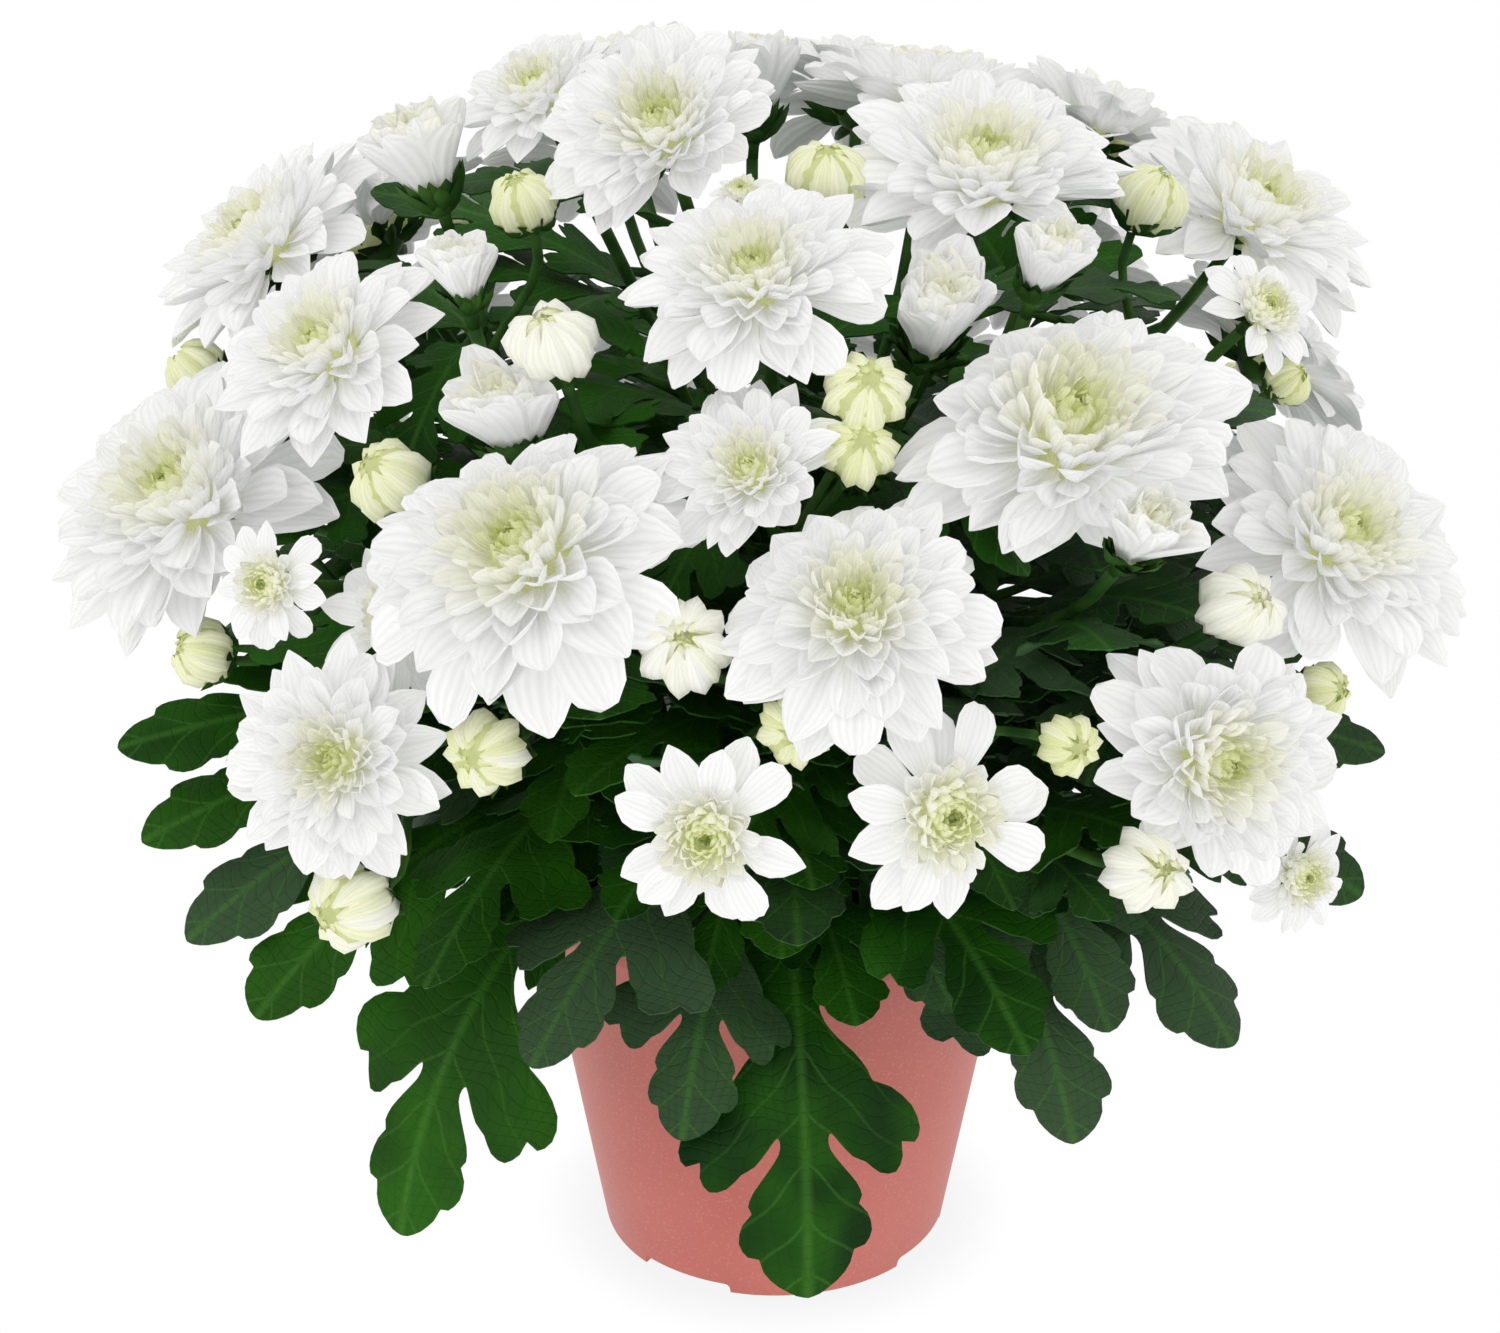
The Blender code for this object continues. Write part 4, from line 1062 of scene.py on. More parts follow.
def leafShape(shape):  # the plain form of a leaf
    form = solidLeaf
    line = LeafLine(*shape)
    verts = []
    faces = []
    for t, width, sweep in form["rows"][:-1]:
        middle, side, up = line.frame(t)
        out = max(width * line.halfWidth, form["petiole"])
        edge, edgeSide, edgeUp = line.frame(t + sweep)
        droop = form["droop"] * out * edgeUp if width else Vector()
        verts += [
            edge - edgeSide * out - droop,
            middle - up * (form["edge"] if width else form["stalk"]),
            edge + edgeSide * out - droop,
            middle + up * (form["thickness"] - form["edge"] if width else form["stalk"]),
        ]
    verts.append(line.frame(1.0)[0])
    rows = len(form["rows"]) - 1
    faces.append((0, 1, 2, 3))
    for row in range(rows - 1):
        a = 4 * row
        for k in range(4):
            n = (k + 1) % 4
            faces.append((a + k, a + n, a + 4 + n))
            faces.append((a + k, a + 4 + n, a + 4 + k))
    last = 4 * (rows - 1)
    for k in range(4):
        faces.append((last + k, last + (k + 1) % 4, len(verts) - 1))
    return verts, faces


def isClear(verts, faces, obstacles):
    tree = treeOf(verts, faces, growth["leafRoom"])
    return not any(tree.overlap(other) for other in obstacles)


def hasRoom(points, obstacles, room):  # whether a path keeps its distance from every obstacle
    for a, b in zip(points, points[1:]):
        for i in range(6):
            spot = a.lerp(b, i / 6)
            for other in obstacles:
                if other.find_nearest(spot, room)[0] is not None:
                    return False
    return True


def stemAxis(bearing, reach):
    flat = aim(bearing, 0)
    foot = flat * reach
    fork = flat * (growth["forkReach"] if reach else 0)
    rows = (
        (0, growth["soilTop"] - growth["holeDepth"]),
        (0, growth["soilTop"] + 4 * mm),
        (0.45, growth["bendHeight"]),
        (1, growth["forkHeight"]),
    )
    return [foot.lerp(fork, share) + Vector((0, 0, z)) for share, z in rows]


def bearingOf(point):  # in degrees from the front
    return math.degrees(math.atan2(point.x, -point.y))


def onStem(axis, height):
    for a, b in zip(axis, axis[1:]):
        if height <= b.z:
            return a.lerp(b, max(0, (height - a.z) / (b.z - a.z)))
    return axis[-1].copy()


def sprayPath(start, end, axis, dice, blocked, room, count=4):
    length = (end - start).length
    for attempt in range(growth["tries"]):
        spread = growth["spread"] * attempt
        shift = Vector([dice.uniform(-spread, spread) for _ in range(3)])
        outwards = Vector((start.x, start.y, 0)) * growth["lean"]
        low = start + outwards + Vector((0, 0, growth["lift"] * length)) + shift
        high = end - axis * (growth["ending"] * length) + shift
        points = bezier(start, low, high, end, count)
        if hasRoom(points, blocked, room):
            return points, bezier(start, low, high, end, 4 * count - 3)
    return None, None


class Plant:  # one main stem with the courses of all that grows on it
    def __init__(self, name, bearing, reach):
        self.name = name
        self.bearing = bearing
        self.axis = stemAxis(bearing, reach)
        self.outer = reach > 0
        self.trees = []
        self.sprays = []
        self.tubes = []  # the fine courses: points and radii
        self.leaves = []
        self.buds = []
        self.necks = []
        radii = [growth["stemRadius"] * share for share in growth["stemTaper"]]
        self.addTube(self.axis, radii)
        self.tubes.append((self.axis, radii, 3))

    def addTube(self, points, radii):  # the plain form of a stem, as an obstacle
        mesh = tube(self.name, points, radii)
        faces = [tuple(face.vertices) for face in mesh.polygons]
        self.trees.append(treeOf([v.co for v in mesh.vertices], faces))
        bpy.data.meshes.remove(mesh)


def isClosed(flower):
    return flowers[flower][4] in ("cup", "opening")


def growFlowerStem(plant, flower, head, blocked):
    dice = random.Random("spray " + flower)
    radius = flowers[flower][1] * mm
    cup = radius * growth["closedCup" if isClosed(flower) else "openCup"]
    end = head["verts"][0] - head["axis"] * gap * growth["cupRoom"]
    neckShare, neckLength = growth["neck"]
    neck = end - head["axis"] * (neckShare * radius + neckLength)
    start = onStem(plant.axis, dice.uniform(*growth["joints"]))
    start += Vector((end.x - start.x, end.y - start.y, 0)).normalized() * growth["jointOffset"]
    points, fine = sprayPath(start, neck, head["axis"], dice, blocked, growth["sprayRoom"])
    if points is None:
        ways = (start, start.lerp(neck, 0.3), start.lerp(neck, 0.7), neck)
        points, fine = bezier(*ways, 4), bezier(*ways, 13)
    thin = growth["sprayRadius"]
    topShare, leastTop = growth["top"]
    top = max(cup * topShare, leastTop)
    foot = thin * growth["thickFoot"]
    plant.addTube(points + [end], [foot] + [thin] * (len(points) - 1) + [top])
    plant.sprays.append(points)
    plant.tubes.append((fine, [foot] + [thin] * (len(fine) - 1), 1))
    plant.necks.append((flower, neck, end, top))


def growBud(plant, number, blocked):
    form = budForm
    tip, radius, turn, rise = budPlaces[number]
    dice = random.Random(300 + number)
    facing = aim(turn, rise)
    size = radius * mm
    for attempt in range(growth["tries"]):
        spread = form["spread"] * attempt * mm
        end = Vector(tip) * mm + Vector([dice.uniform(-spread, spread) for _ in range(3)])
        top = [end - facing * (share * size) for share, width in form["rings"]]
        if not hasRoom(top, blocked, form["room"] * size):
            continue
        base = end - facing * (form["base"] * size)
        start = min(plant.sprays, key=lambda line: (line[2] - base).length)[2]
        points, fine = sprayPath(start, base, facing, dice, blocked, growth["budStemRoom"], 3)
        if points is None:
            continue
        thin = growth["budStemRadius"]
        widths = [width * size for share, width in form["rings"]]
        plant.addTube(points + top, [thin] * len(points) + widths)
        plant.tubes.append((fine, [thin] * len(fine), 1))
        plant.buds.append((number, end, facing, size))
        return
    print("no room for bud", number)


def leafPlan(plant):
    dice = random.Random("leaves " + plant.name)
    plan = []
    for stem, height, way, *shape in shownLeaves:
        if stem == plant.name:
            joint = onStem(plant.axis, height * mm) + aim(way, 0) * growth["jointOffset"]
            plan.append((joint, way, *shape))
    if plant.outer:
        for height, *shape, ways in leafTiers[1:] if plan else leafTiers:
            for way in ways:
                level = (height + dice.uniform(-growth["tierSpread"], growth["tierSpread"])) * mm
                side = aim(plant.bearing + way, 0) * growth["jointOffset"]
                plan.append((onStem(plant.axis, level) + side, plant.bearing + way, *shape, 0))
    else:
        for number, line in enumerate(plant.sprays[::2]):
            level, length, halfWidth = upperLeaves[number % len(upperLeaves)]
            joint = line[1].lerp(line[2], level)
            way = bearingOf(joint) + dice.uniform(-growth["upperTurn"], growth["upperTurn"])
            plan.append((joint, way, *growth["upperShape"], length, halfWidth, 0))
    return plan


def tryLeaf(plant, row, dice, blocked, own):  # the first way of placing a leaf that is clear
    search = leafSearch
    joint, way, rise, bend, length, halfWidth, roll = row
    for spread in range(search["tries"]):
        size = 1 - search["shrink"] * spread
        shape = (
            joint,
            way + dice.uniform(-1, 1) * spread * search["turn"],
            rise + dice.uniform(-1, search["lift"]) * spread * search["rise"],
            bend + dice.uniform(-1, 1) * spread,
            length * mm * size,
            halfWidth * mm * size,
            roll + dice.uniform(-1, 1) * spread * search["roll"],
        )
        verts, faces = leafShape(shape)
        if isClear(verts, faces, blocked) and isClear(verts, faces[solidLeaf["stalkFaces"]:], own):
            plant.leaves.append(shape)
            return verts, faces
    return None


def growLeaves(plant, blocked):
    for number, row in enumerate(leafPlan(plant)):
        dice = random.Random("leaf %s %d" % (plant.name, number))
        found = tryLeaf(plant, row, dice, blocked, plant.trees)
        if found:
            plant.trees.append(treeOf(*found))


def stemOf(point):  # the name of the main stem that a flower or bud grows from
    if math.hypot(point.x, point.y) < growth["centreReach"]:
        return "middle"
    return list(stemBearings)[1 + round(bearingOf(point) % 360 / 60) % 6]


def otherTrees(plant, plants):  # all that stands in the way on the other stems
    return [tree for other in plants if other is not plant for tree in other.trees]


def growPlants():
    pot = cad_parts["pot"].data
    fixed = [treeOf([v.co for v in pot.vertices], [tuple(face.vertices) for face in pot.polygons])]
    plants = [Plant(name, bearing, growth["stemReach"] if name != "middle" else 0)
              for name, bearing in stemBearings.items()]
    for plant in plants:
        for flower in flowers:
            if stemOf(Vector(flowers[flower][0]) * mm) == plant.name:
                blocked = [head["tree"] for key, head in heads.items() if key != flower]
                growFlowerStem(plant, flower, heads[flower], blocked + otherTrees(plant, plants) + fixed)
    fixed += [head["tree"] for head in heads.values()]
    for number, bud in enumerate(budPlaces):
        for plant in plants:
            if stemOf(Vector(bud[0]) * mm) == plant.name:
                growBud(plant, number, otherTrees(plant, plants) + fixed)
    for plant in plants:
        growLeaves(plant, otherTrees(plant, plants) + fixed)
    return plants, fixed


plants, fixedTrees = growPlants()
print("courses", [(plant.name, len(plant.leaves), len(plant.buds)) for plant in plants])


# More leaves, between the stems and under the flowers.

extraLeaves = {
    "onStem": 14, "joints": (112 * mm, 150 * mm), "spread": 62, "stemRise": (-2, 34), "stemBend": (30, 76),
    "perSpray": 5, "places": (0.26, 0.86), "turn": 100, "sprayRise": (0, 42), "sprayBend": (18, 62),
    "length": (50, 82), "halfWidth": (15, 23), "reach": 136 * mm, "leastRoom": 28,
    "tries": 3, "shrink": 0.85, "nextTurn": (60, 140),
}


def morePlaces(plant, dice):  # a joint, bearing, rise and bend for each of the extra leaves
    plan = extraLeaves
    rows = []
    for _ in range(plan["onStem"] if plant.outer else 0):
        way = plant.bearing + dice.uniform(-plan["spread"], plan["spread"])
        joint = onStem(plant.axis, dice.uniform(*plan["joints"])) + aim(way, 0) * growth["jointOffset"]
        rows.append((joint, way, dice.uniform(*plan["stemRise"]), dice.uniform(*plan["stemBend"])))
    courses = [course for course, radii, rounds in plant.tubes[1:] if len(course) > 10]
    for number in range(plan["perSpray"] * len(courses)):
        course = courses[number % len(courses)]
        joint = course[int(len(course) * dice.uniform(*plan["places"]))]
        way = bearingOf(joint) + dice.uniform(-plan["turn"], plan["turn"])
        rows.append((joint, way, dice.uniform(*plan["sprayRise"]), dice.uniform(*plan["sprayBend"])))
    return rows


def growMore(plant, blocked):
    plan = extraLeaves
    dice = random.Random("more " + plant.name)
    for number, (joint, way, rise, bend) in enumerate(morePlaces(plant, dice)):
        room = (plan["reach"] - joint.xy.length) / mm
        length = min(dice.uniform(*plan["length"]), room)
        halfWidth = dice.uniform(*plan["halfWidth"])
        if room < plan["leastRoom"]:
            continue
        rowDice = random.Random("more %s %d" % (plant.name, number))
        for _ in range(plan["tries"]):
            row = (joint, way, rise, bend, length, halfWidth, 0)
            found = tryLeaf(plant, row, rowDice, blocked, plant.trees)
            if found:
                plant.trees.append(treeOf(*found))
                break
            way += rowDice.uniform(*plan["nextTurn"])
            length *= plan["shrink"]
            halfWidth *= plan["shrink"]


for plant in plants:
    growMore(plant, fixedTrees + otherTrees(plant, plants))
print("leaves", sum(len(plant.leaves) for plant in plants))


# Leaves: a lobed blade with rounded teeth, cut once as a flat pattern and laid along each leaf's arch.

leafOutline = (  # one half: places along the leaf, and out from the midrib as shares of its half width
    (0.150, 0.030), (0.205, 0.050), (0.228, 0.160), (0.246, 0.330), (0.280, 0.440), (0.316, 0.460),
    (0.334, 0.400), (0.362, 0.500), (0.400, 0.620), (0.440, 0.650), (0.462, 0.580), (0.452, 0.480),
    (0.472, 0.420), (0.458, 0.330), (0.436, 0.250), (0.430, 0.210), (0.446, 0.195), (0.474, 0.240),
    (0.506, 0.350), (0.538, 0.500), (0.575, 0.620), (0.596, 0.660), (0.612, 0.820), (0.652, 0.990),
    (0.700, 1.030), (0.728, 0.950), (0.722, 0.840), (0.752, 0.820), (0.780, 0.730), (0.776, 0.600),
    (0.750, 0.500), (0.736, 0.400), (0.706, 0.300), (0.686, 0.235), (0.694, 0.205), (0.716, 0.215),
    (0.748, 0.300), (0.785, 0.400), (0.812, 0.430), (0.828, 0.400), (0.850, 0.460), (0.886, 0.480),
    (0.912, 0.420), (0.918, 0.340), (0.944, 0.310), (0.974, 0.210), (0.994, 0.085), (1.000, 0.000),
)
leafForm = {
    "thickness": 0.4 * mm, "lift": 0.3 * mm, "droop": 0.14, "droopSpread": 0.12,
    "groove": 0.5 * mm, "grooveWidth": 0.06, "quilt": 0.5 * mm, "wave": 1.5 * mm,
    "lobeSpread": 0.13, "lobeWaves": 8, "lobeShift": 0.02, "twist": 12.0,
    "edgeWaves": (24, 11), "secondWave": 0.7, "quiltRise": 3,
    "sideways": 50.0, "sideTwist": 36.0,  # shown leaves at the sides turn their faces to the front
    "stretch": 4.2, "fineMesh": 0.17, "plainMesh": 0.27, "rowHeight": 0.87, "clearOfEdge": 0.55,
}


def inside(point, outline):  # whether a point lies in a polygon
    found = False
    for (x, y), (u, v) in zip(outline, outline[1:] + outline[:1]):
        if (y > point[1]) != (v > point[1]) and point[0] < x + (u - x) * (point[1] - y) / (v - y):
            found = not found
    return found


def makeHalfPattern(step, rounded):  # half a flat blade: its points and its triangles
    form = leafForm
    stretch = form["stretch"]
    edge = [Vector((x * stretch, y)) for x, y in leafOutline]
    smooth = []
    for i in range(len(edge) - 1):
        start, end = edge[i:i + 2]
        before, after = edge[max(i - 1, 0)], edge[min(i + 2, len(edge) - 1)]
        smooth.append(start)
        if i > 1 and rounded:
            smooth.append((start + end) * 0.5 + (start - before + end - after) / 16)
    smooth.append(edge[-1])
    foot, tip = edge[0].x, edge[-1].x
    rib = int((tip - foot) / step)
    spots = smooth + [Vector((foot + (tip - foot) * i / rib, 0)) for i in range(rib - 1, -1, -1)]
    loop = len(spots)
    around = [tuple(spot) for spot in spots]
    height = form["rowHeight"] * step
    for row in range(int(1.1 / height) + 1):
        for column in range(int(stretch / step) + 1):
            spot = Vector((step * (column + 0.5 * (row % 2)), height * (row + 0.9)))
            room = min((spot - other).length for other in spots[:loop])
            if room > form["clearOfEdge"] * step and inside(spot, around):
                spots.append(spot)
    edges = [(i, (i + 1) % loop) for i in range(loop)]
    found = delaunay_2d_cdt(spots, edges, [], 1, 1e-5)
    points = np.array([(spot.x / stretch, spot.y) for spot in found[0]])
    triangles = []
    for a, b, c in found[2]:
        (x, y), (u, v) = points[b] - points[a], points[c] - points[a]
        triangles.append((a, b, c) if x * v > y * u else (a, c, b))
    return points, triangles


def makeLeafPattern(step, rounded):  # both halves and both sides of the blade, closed round its edge
    half, triangles = makeHalfPattern(step, rounded)
    points = [(x, y) for x, y in half]
    mirrored = []
    for number, (x, y) in enumerate(half):
        mirrored.append(number if y < 1e-6 else len(points))
        if y >= 1e-6:
            points.append((x, -y))
    top = triangles + [(mirrored[a], mirrored[c], mirrored[b]) for a, b, c in triangles]
    count = len(points)
    steps = {pair for a, b, c in top for pair in ((a, b), (b, c), (c, a))}
    rim = [(a, b) for a, b in sorted(steps) if (b, a) not in steps]
    faces = top + [face for a, b in rim for face in ((b, a, a + count), (b, a + count, b + count))]
    faces += [(a + count, c + count, b + count) for a, b, c in top]
    return {
        "points": np.array(points + points), "faces": np.array(faces),
        "under": len(faces) - len(top), "depth": np.repeat([0.0, 1.0], count),
    }


finePattern = makeLeafPattern(leafForm["fineMesh"], True)  # for the leaves that the front shows whole
plainPattern = makeLeafPattern(leafForm["plainMesh"], False)
print("leaf patterns", len(finePattern["faces"]), len(plainPattern["faces"]), "faces")


def leafPoints(pattern, shape, dice, shown):  # the pattern laid along one leaf, with its own waves and twist
    form = leafForm
    line = LeafLine(*shape)
    marks = np.linspace(0, 1, line.steps + 1)
    frames = np.array([[tuple(v) for v in line.frame(mark)] for mark in marks])
    x, y = pattern["points"].T
    side = np.sign(y)
    phases = np.array([[dice.uniform(0, 6.28) for _ in range(3)] for _ in range(4)])
    phases = phases[:, (side + 1).astype(int)]
    y = np.abs(y)
    out = y * (1 + form["lobeSpread"] * np.sin(form["lobeWaves"] * x + phases[0])) * line.halfWidth
    along = np.clip(x + form["lobeShift"] * y * np.sin(phases[1]), 0, 1)
    middle, across, up = (
        np.stack([np.interp(along, marks, frames[:, part, axis]) for axis in range(3)], axis=1)
        for part in range(3)
    )
    droop = form["droop"] + dice.uniform(-form["droopSpread"], form["droopSpread"])
    twist = dice.uniform(-form["twist"], form["twist"])
    if shown and abs(line.bearing) > form["sideways"]:
        twist = math.copysign(form["sideTwist"], line.bearing)
    turn = math.radians(twist) * along[:, None]
    across, up = across * np.cos(turn) + up * np.sin(turn), up * np.cos(turn) - across * np.sin(turn)
    vein = (along - leafVeins["slope"] * y) / leafVeins["spacing"]
    height = form["lift"] - droop * out - form["groove"] * np.exp(-(y / form["grooveWidth"]) ** 2)
    height += form["quilt"] * np.sin(np.pi * vein) ** 2 * np.minimum(1, form["quiltRise"] * y)
    fast, slow = (np.sin(phase + wave * along) for phase, wave in zip(phases[2:], form["edgeWaves"]))
    height += form["wave"] * y * (y * fast + form["secondWave"] * slow)
    height -= pattern["depth"] * form["thickness"]
    return middle + across * (out * side)[:, None] + up * height[:, None]


leafTones = {"dullAndSheenShare": 0.2, "dullAndSheen": (0.75, 1), "fresh": (0, 0.6)}  # as leafLook reads them


def makeLeaves(plant):
    shown = sum(row[0] == plant.name for row in shownLeaves)
    store = {key: [] for key in ("points", "faces", "uvs", "under", "tone")}
    start = 0
    for number, shape in enumerate(plant.leaves):
        dice = random.Random("blade %s %d" % (plant.name, number))
        pattern = finePattern if number < shown else plainPattern
        flat = np.stack([0.5 + 0.5 * pattern["points"][:, 1], pattern["points"][:, 0]], axis=1)
        count = len(pattern["points"])
        store["points"].append(leafPoints(pattern, shape, dice, number < shown))
        store["faces"].append(pattern["faces"] + start)
        store["uvs"].append(flat[pattern["faces"].ravel()])
        store["under"].append(np.arange(len(pattern["faces"])) >= pattern["under"])
        # every leaf on the front right stem takes the grey green as a painted sheen; other leaves take it at
        # random as dull leaves
        dullAndSheen = plant.name == "front_right" or dice.random() < leafTones["dullAndSheenShare"]
        store["tone"].append(np.full(count, dice.uniform(*leafTones["dullAndSheen" if dullAndSheen else "fresh"])))
        start += count
    whole = {key: np.concatenate(rows) for key, rows in store.items()}
    mesh = newMesh("leaves_" + plant.name, whole["points"].tolist(), whole["faces"].tolist())
    mesh.uv_layers.new(name="UVMap").data.foreach_set("uv", whole["uvs"].astype(np.float32).ravel())
    for name, domain in (("under", "FACE"), ("tone", "POINT")):
        values = whole[name].astype(np.float32)
        mesh.attributes.new(name, "FLOAT", domain).data.foreach_set("value", values)
    mesh.shade_smooth()
    mesh.set_sharp_from_angle(angle=math.radians(60))
    mesh.materials.append(leafSkin)
    return newObject("leaves_" + plant.name, mesh)


leafPieces = {plant.name: makeLeaves(plant) for plant in plants}
print("leaf faces", sum(len(item.data.polygons) for item in leafPieces.values()))


# Stems, leaf stalks and the green cups under the flowers.

calyxStyles = {  # as in bloomStyles
    "open": ("bract", 26, (6, 34), (0.36, 0.26), (0.12, 0.11), (0.12, 0.15), (-0.52, -0.45),
             (0, 0), 1, 1, 0.01),
    "cup": ("bract", 20, (52, 66), (0.78, 0.62), (0.34, 0.28), (0.2, 0.25), (-1.64, -1.52),
            (0, 0), 1, 1, 0.02),
}
calyxRings = {
    "open": [(0, -0.57), (0.07, -0.56), (0.14, -0.52), (0.20, -0.45), (0.215, -0.41), (0.12, -0.40),
             (0, -0.40)],
    "cup": [(0, -1.68), (0.13, -1.67), (0.24, -1.61), (0.31, -1.50), (0.30, -1.44), (0.15, -1.42),
            (0, -1.42)],
}
stalk = {"radius": 1.35 * mm, "taper": 0.75, "under": 0.9 * mm, "settles": 0.16, "ends": 0.62, "rings": 8}


def stalkPiece(shape):  # a leaf's stalk, which runs on under its blade as the midrib
    line = LeafLine(*shape)
    points = []
    radii = []
    last = stalk["rings"] - 1
    for i in range(stalk["rings"]):
        t = stalk["ends"] * i / last
        middle, across, up = line.frame(t)
        points.append(middle - up * stalk["under"] * min(1, t / stalk["settles"]))
        radii.append(stalk["radius"] * (1 - stalk["taper"] * i / last))
    return newObject("stalk", tube("stalk", points, radii, 1))


neckForm = {"bend": 0.7, "sunk": 0.06, "widths": (1.1, 1.6), "cupSides": 14}


def makeStems(plant):
    form = neckForm
    parts = [newObject("stem", tube("stem", *course)) for course in plant.tubes]
    parts += [stalkPiece(shape) for shape in plant.leaves]
    for flower, neck, end, top in plant.necks:
        head = heads[flower]
        stage = "cup" if isClosed(flower) else "open"
        radius = flowers[flower][1] * mm
        thin = growth["sprayRadius"]
        points = [neck, neck.lerp(end, form["bend"]), end + head["axis"] * form["sunk"] * radius]
        middle, wide = (thin * width for width in form["widths"])
        parts.append(newObject("neck", tube("neck", points, [thin, middle, min(top, wide)], 1)))
        cup = turnedMesh("calyx", calyxRings[stage], form["cupSides"], radius)
        cup.materials.append(stemSkin)
        item = newObject("calyx", cup)
        whorl(item, stemSkin, radius, len(parts), *calyxStyles[stage])
        mesh = baked(item)
        setPoints(mesh, placeHead(head, pointsOf(mesh)))
        parts.append(item)
    for item in parts:
        coat(item, stemSkin)
        item.data.shade_smooth()
    return joined("stems_" + plant.name, parts)


stemPieces = {plant.name: makeStems(plant) for plant in plants}
print("stem faces", sum(len(item.data.polygons) for item in stemPieces.values()))


# Buds: petals wrapped round a ball, in a green cup.

budCore = [(0, -1.98), (0.35, -1.92), (0.70, -1.58), (0.86, -1.10), (0.78, -0.66), (0.50, -0.40),
           (0.20, -0.36), (0, -0.50)]
budWhorls = [  # as in bloomStyles
    ("wrap", 10, (49, 51), (2.56, 2.46), (0.84, 0.78), (0.14, 0.13), (-1.94, -1.92)),
    ("wrap", 8, (51, 54), (2.4, 2.26), (0.76, 0.66), (0.12, 0.1), (-1.9, -1.84)),
]
budShades = [(0.64, 0.74), (0.74, 0.84)]
budLoose = (1.0, 0.2, 0.03)  # ease, scatter and ripple
budCup = ("bract", 16, (32, 50), (1.25, 0.95), (0.46, 0.4), (0.22, 0.28), (-2.08, -1.98),
          (0, 0), 1, 0.5, 0.03)
budAges = {"young": 6 * mm, "ripe": 9 * mm, "greener": 0.12, "core": 0.91}  # radii, and shades


def makeBuds(plant):
    ages = budAges
    parts = []
    for number, end, facing, size in plant.buds:
        youth = min(1.0, max(0.0, (ages["ripe"] - size) / (ages["ripe"] - ages["young"])))
        greener = youth * ages["greener"]
        item = newObject("bud", petalCore("bud", budCore, 14, size, ages["core"]))
        for step, (style, shades) in enumerate(zip(budWhorls, budShades)):
            shades = [shade + greener for shade in shades]
            whorl(item, petalSkin, size, 900 + 5 * number + step, *style, shades, *budLoose)
        whorl(item, stemSkin, size, 700 + number, *budCup)
        mesh = baked(item)
        turn = np.array(facing.to_track_quat("Z", "Y").to_matrix()).T
        setPoints(mesh, pointsOf(mesh) @ turn + np.array(end))
        mesh.shade_smooth()
        parts.append(item)
    return joined("buds_" + plant.name, parts) if parts else None


budPieces = {plant.name: makeBuds(plant) for plant in plants}
print("buds made")


# Pot: turned, with its rim rounded, and cut at the foot and through the floor.

potSizes = {
    "height": 108 * mm, "rim": 60 * mm, "band": 93 * mm, "neck": 57.8 * mm, "foot": 41.8 * mm,
    "wall": 1.4 * mm, "floor": 3 * mm, "sides": 144,
    "notches": (-31.5, 61.5, 148.5, 238.5), "notchWidth": 24 * mm, "notchHeight": 2.6 * mm,
    "notchDepth": 12 * mm,
    "drains": 5, "drainRadius": 3.5 * mm, "drainReach": 26 * mm, "drainTurn": 20, "drainCut": 20 * mm,
    "corner": 0.6 * mm, "notchRound": 1.2 * mm, "footWidth": 2.6 * mm,
}
potEdges = {  # the rounded edges, in mm from the corner that each goes round
    "foot": ((-2.6, 0.2), (-2.4, 0), (-0.5, 0), (-0.15, 0.15), (0, 0.6)),
    "band": ((-0.4, 0.1), (-0.1, 0.25), (0, 0.6)),
    "rim": ((0, -0.7), (-0.1, -0.3), (-0.35, -0.07), (-0.7, 0), (-1.3, -0.05), (-1.65, -0.25), (-1.8, -0.7)),
}


def boxCutter(width, depth, height):
    bm = bmesh.new()
    bmesh.ops.create_cube(bm, size=1.0)
    bmesh.ops.scale(bm, vec=(width, depth, height), verts=bm.verts)
    through = [edge for edge in bm.edges if abs(edge.verts[0].co.y - edge.verts[1].co.y) > depth / 2]
    bmesh.ops.bevel(bm, geom=through, offset=potSizes["notchRound"], segments=4, profile=0.5, affect="EDGES")
    return meshFrom(bm, "box_cutter")


def roundCutter(radius, depth, sides):
    bm = bmesh.new()
    bmesh.ops.create_cone(bm, cap_ends=True, segments=sides, radius1=radius, radius2=radius, depth=depth)
    return meshFrom(bm, "round_cutter")


def cutAway(item, cutters):  # takes the cutters out of a closed mesh
    for cutter in cutters:
        modifier = item.modifiers.new("cut", "BOOLEAN")
        modifier.operation = "DIFFERENCE"
        modifier.solver = "EXACT"
        modifier.object = cutter
    baked(item)
    for cutter in cutters:
        bpy.data.objects.remove(cutter)


def innerWall():  # the pot's reach inside, just above its floor
    sizes = potSizes
    return sizes["foot"] + (sizes["neck"] - sizes["foot"]) * 0.05 - sizes["wall"]


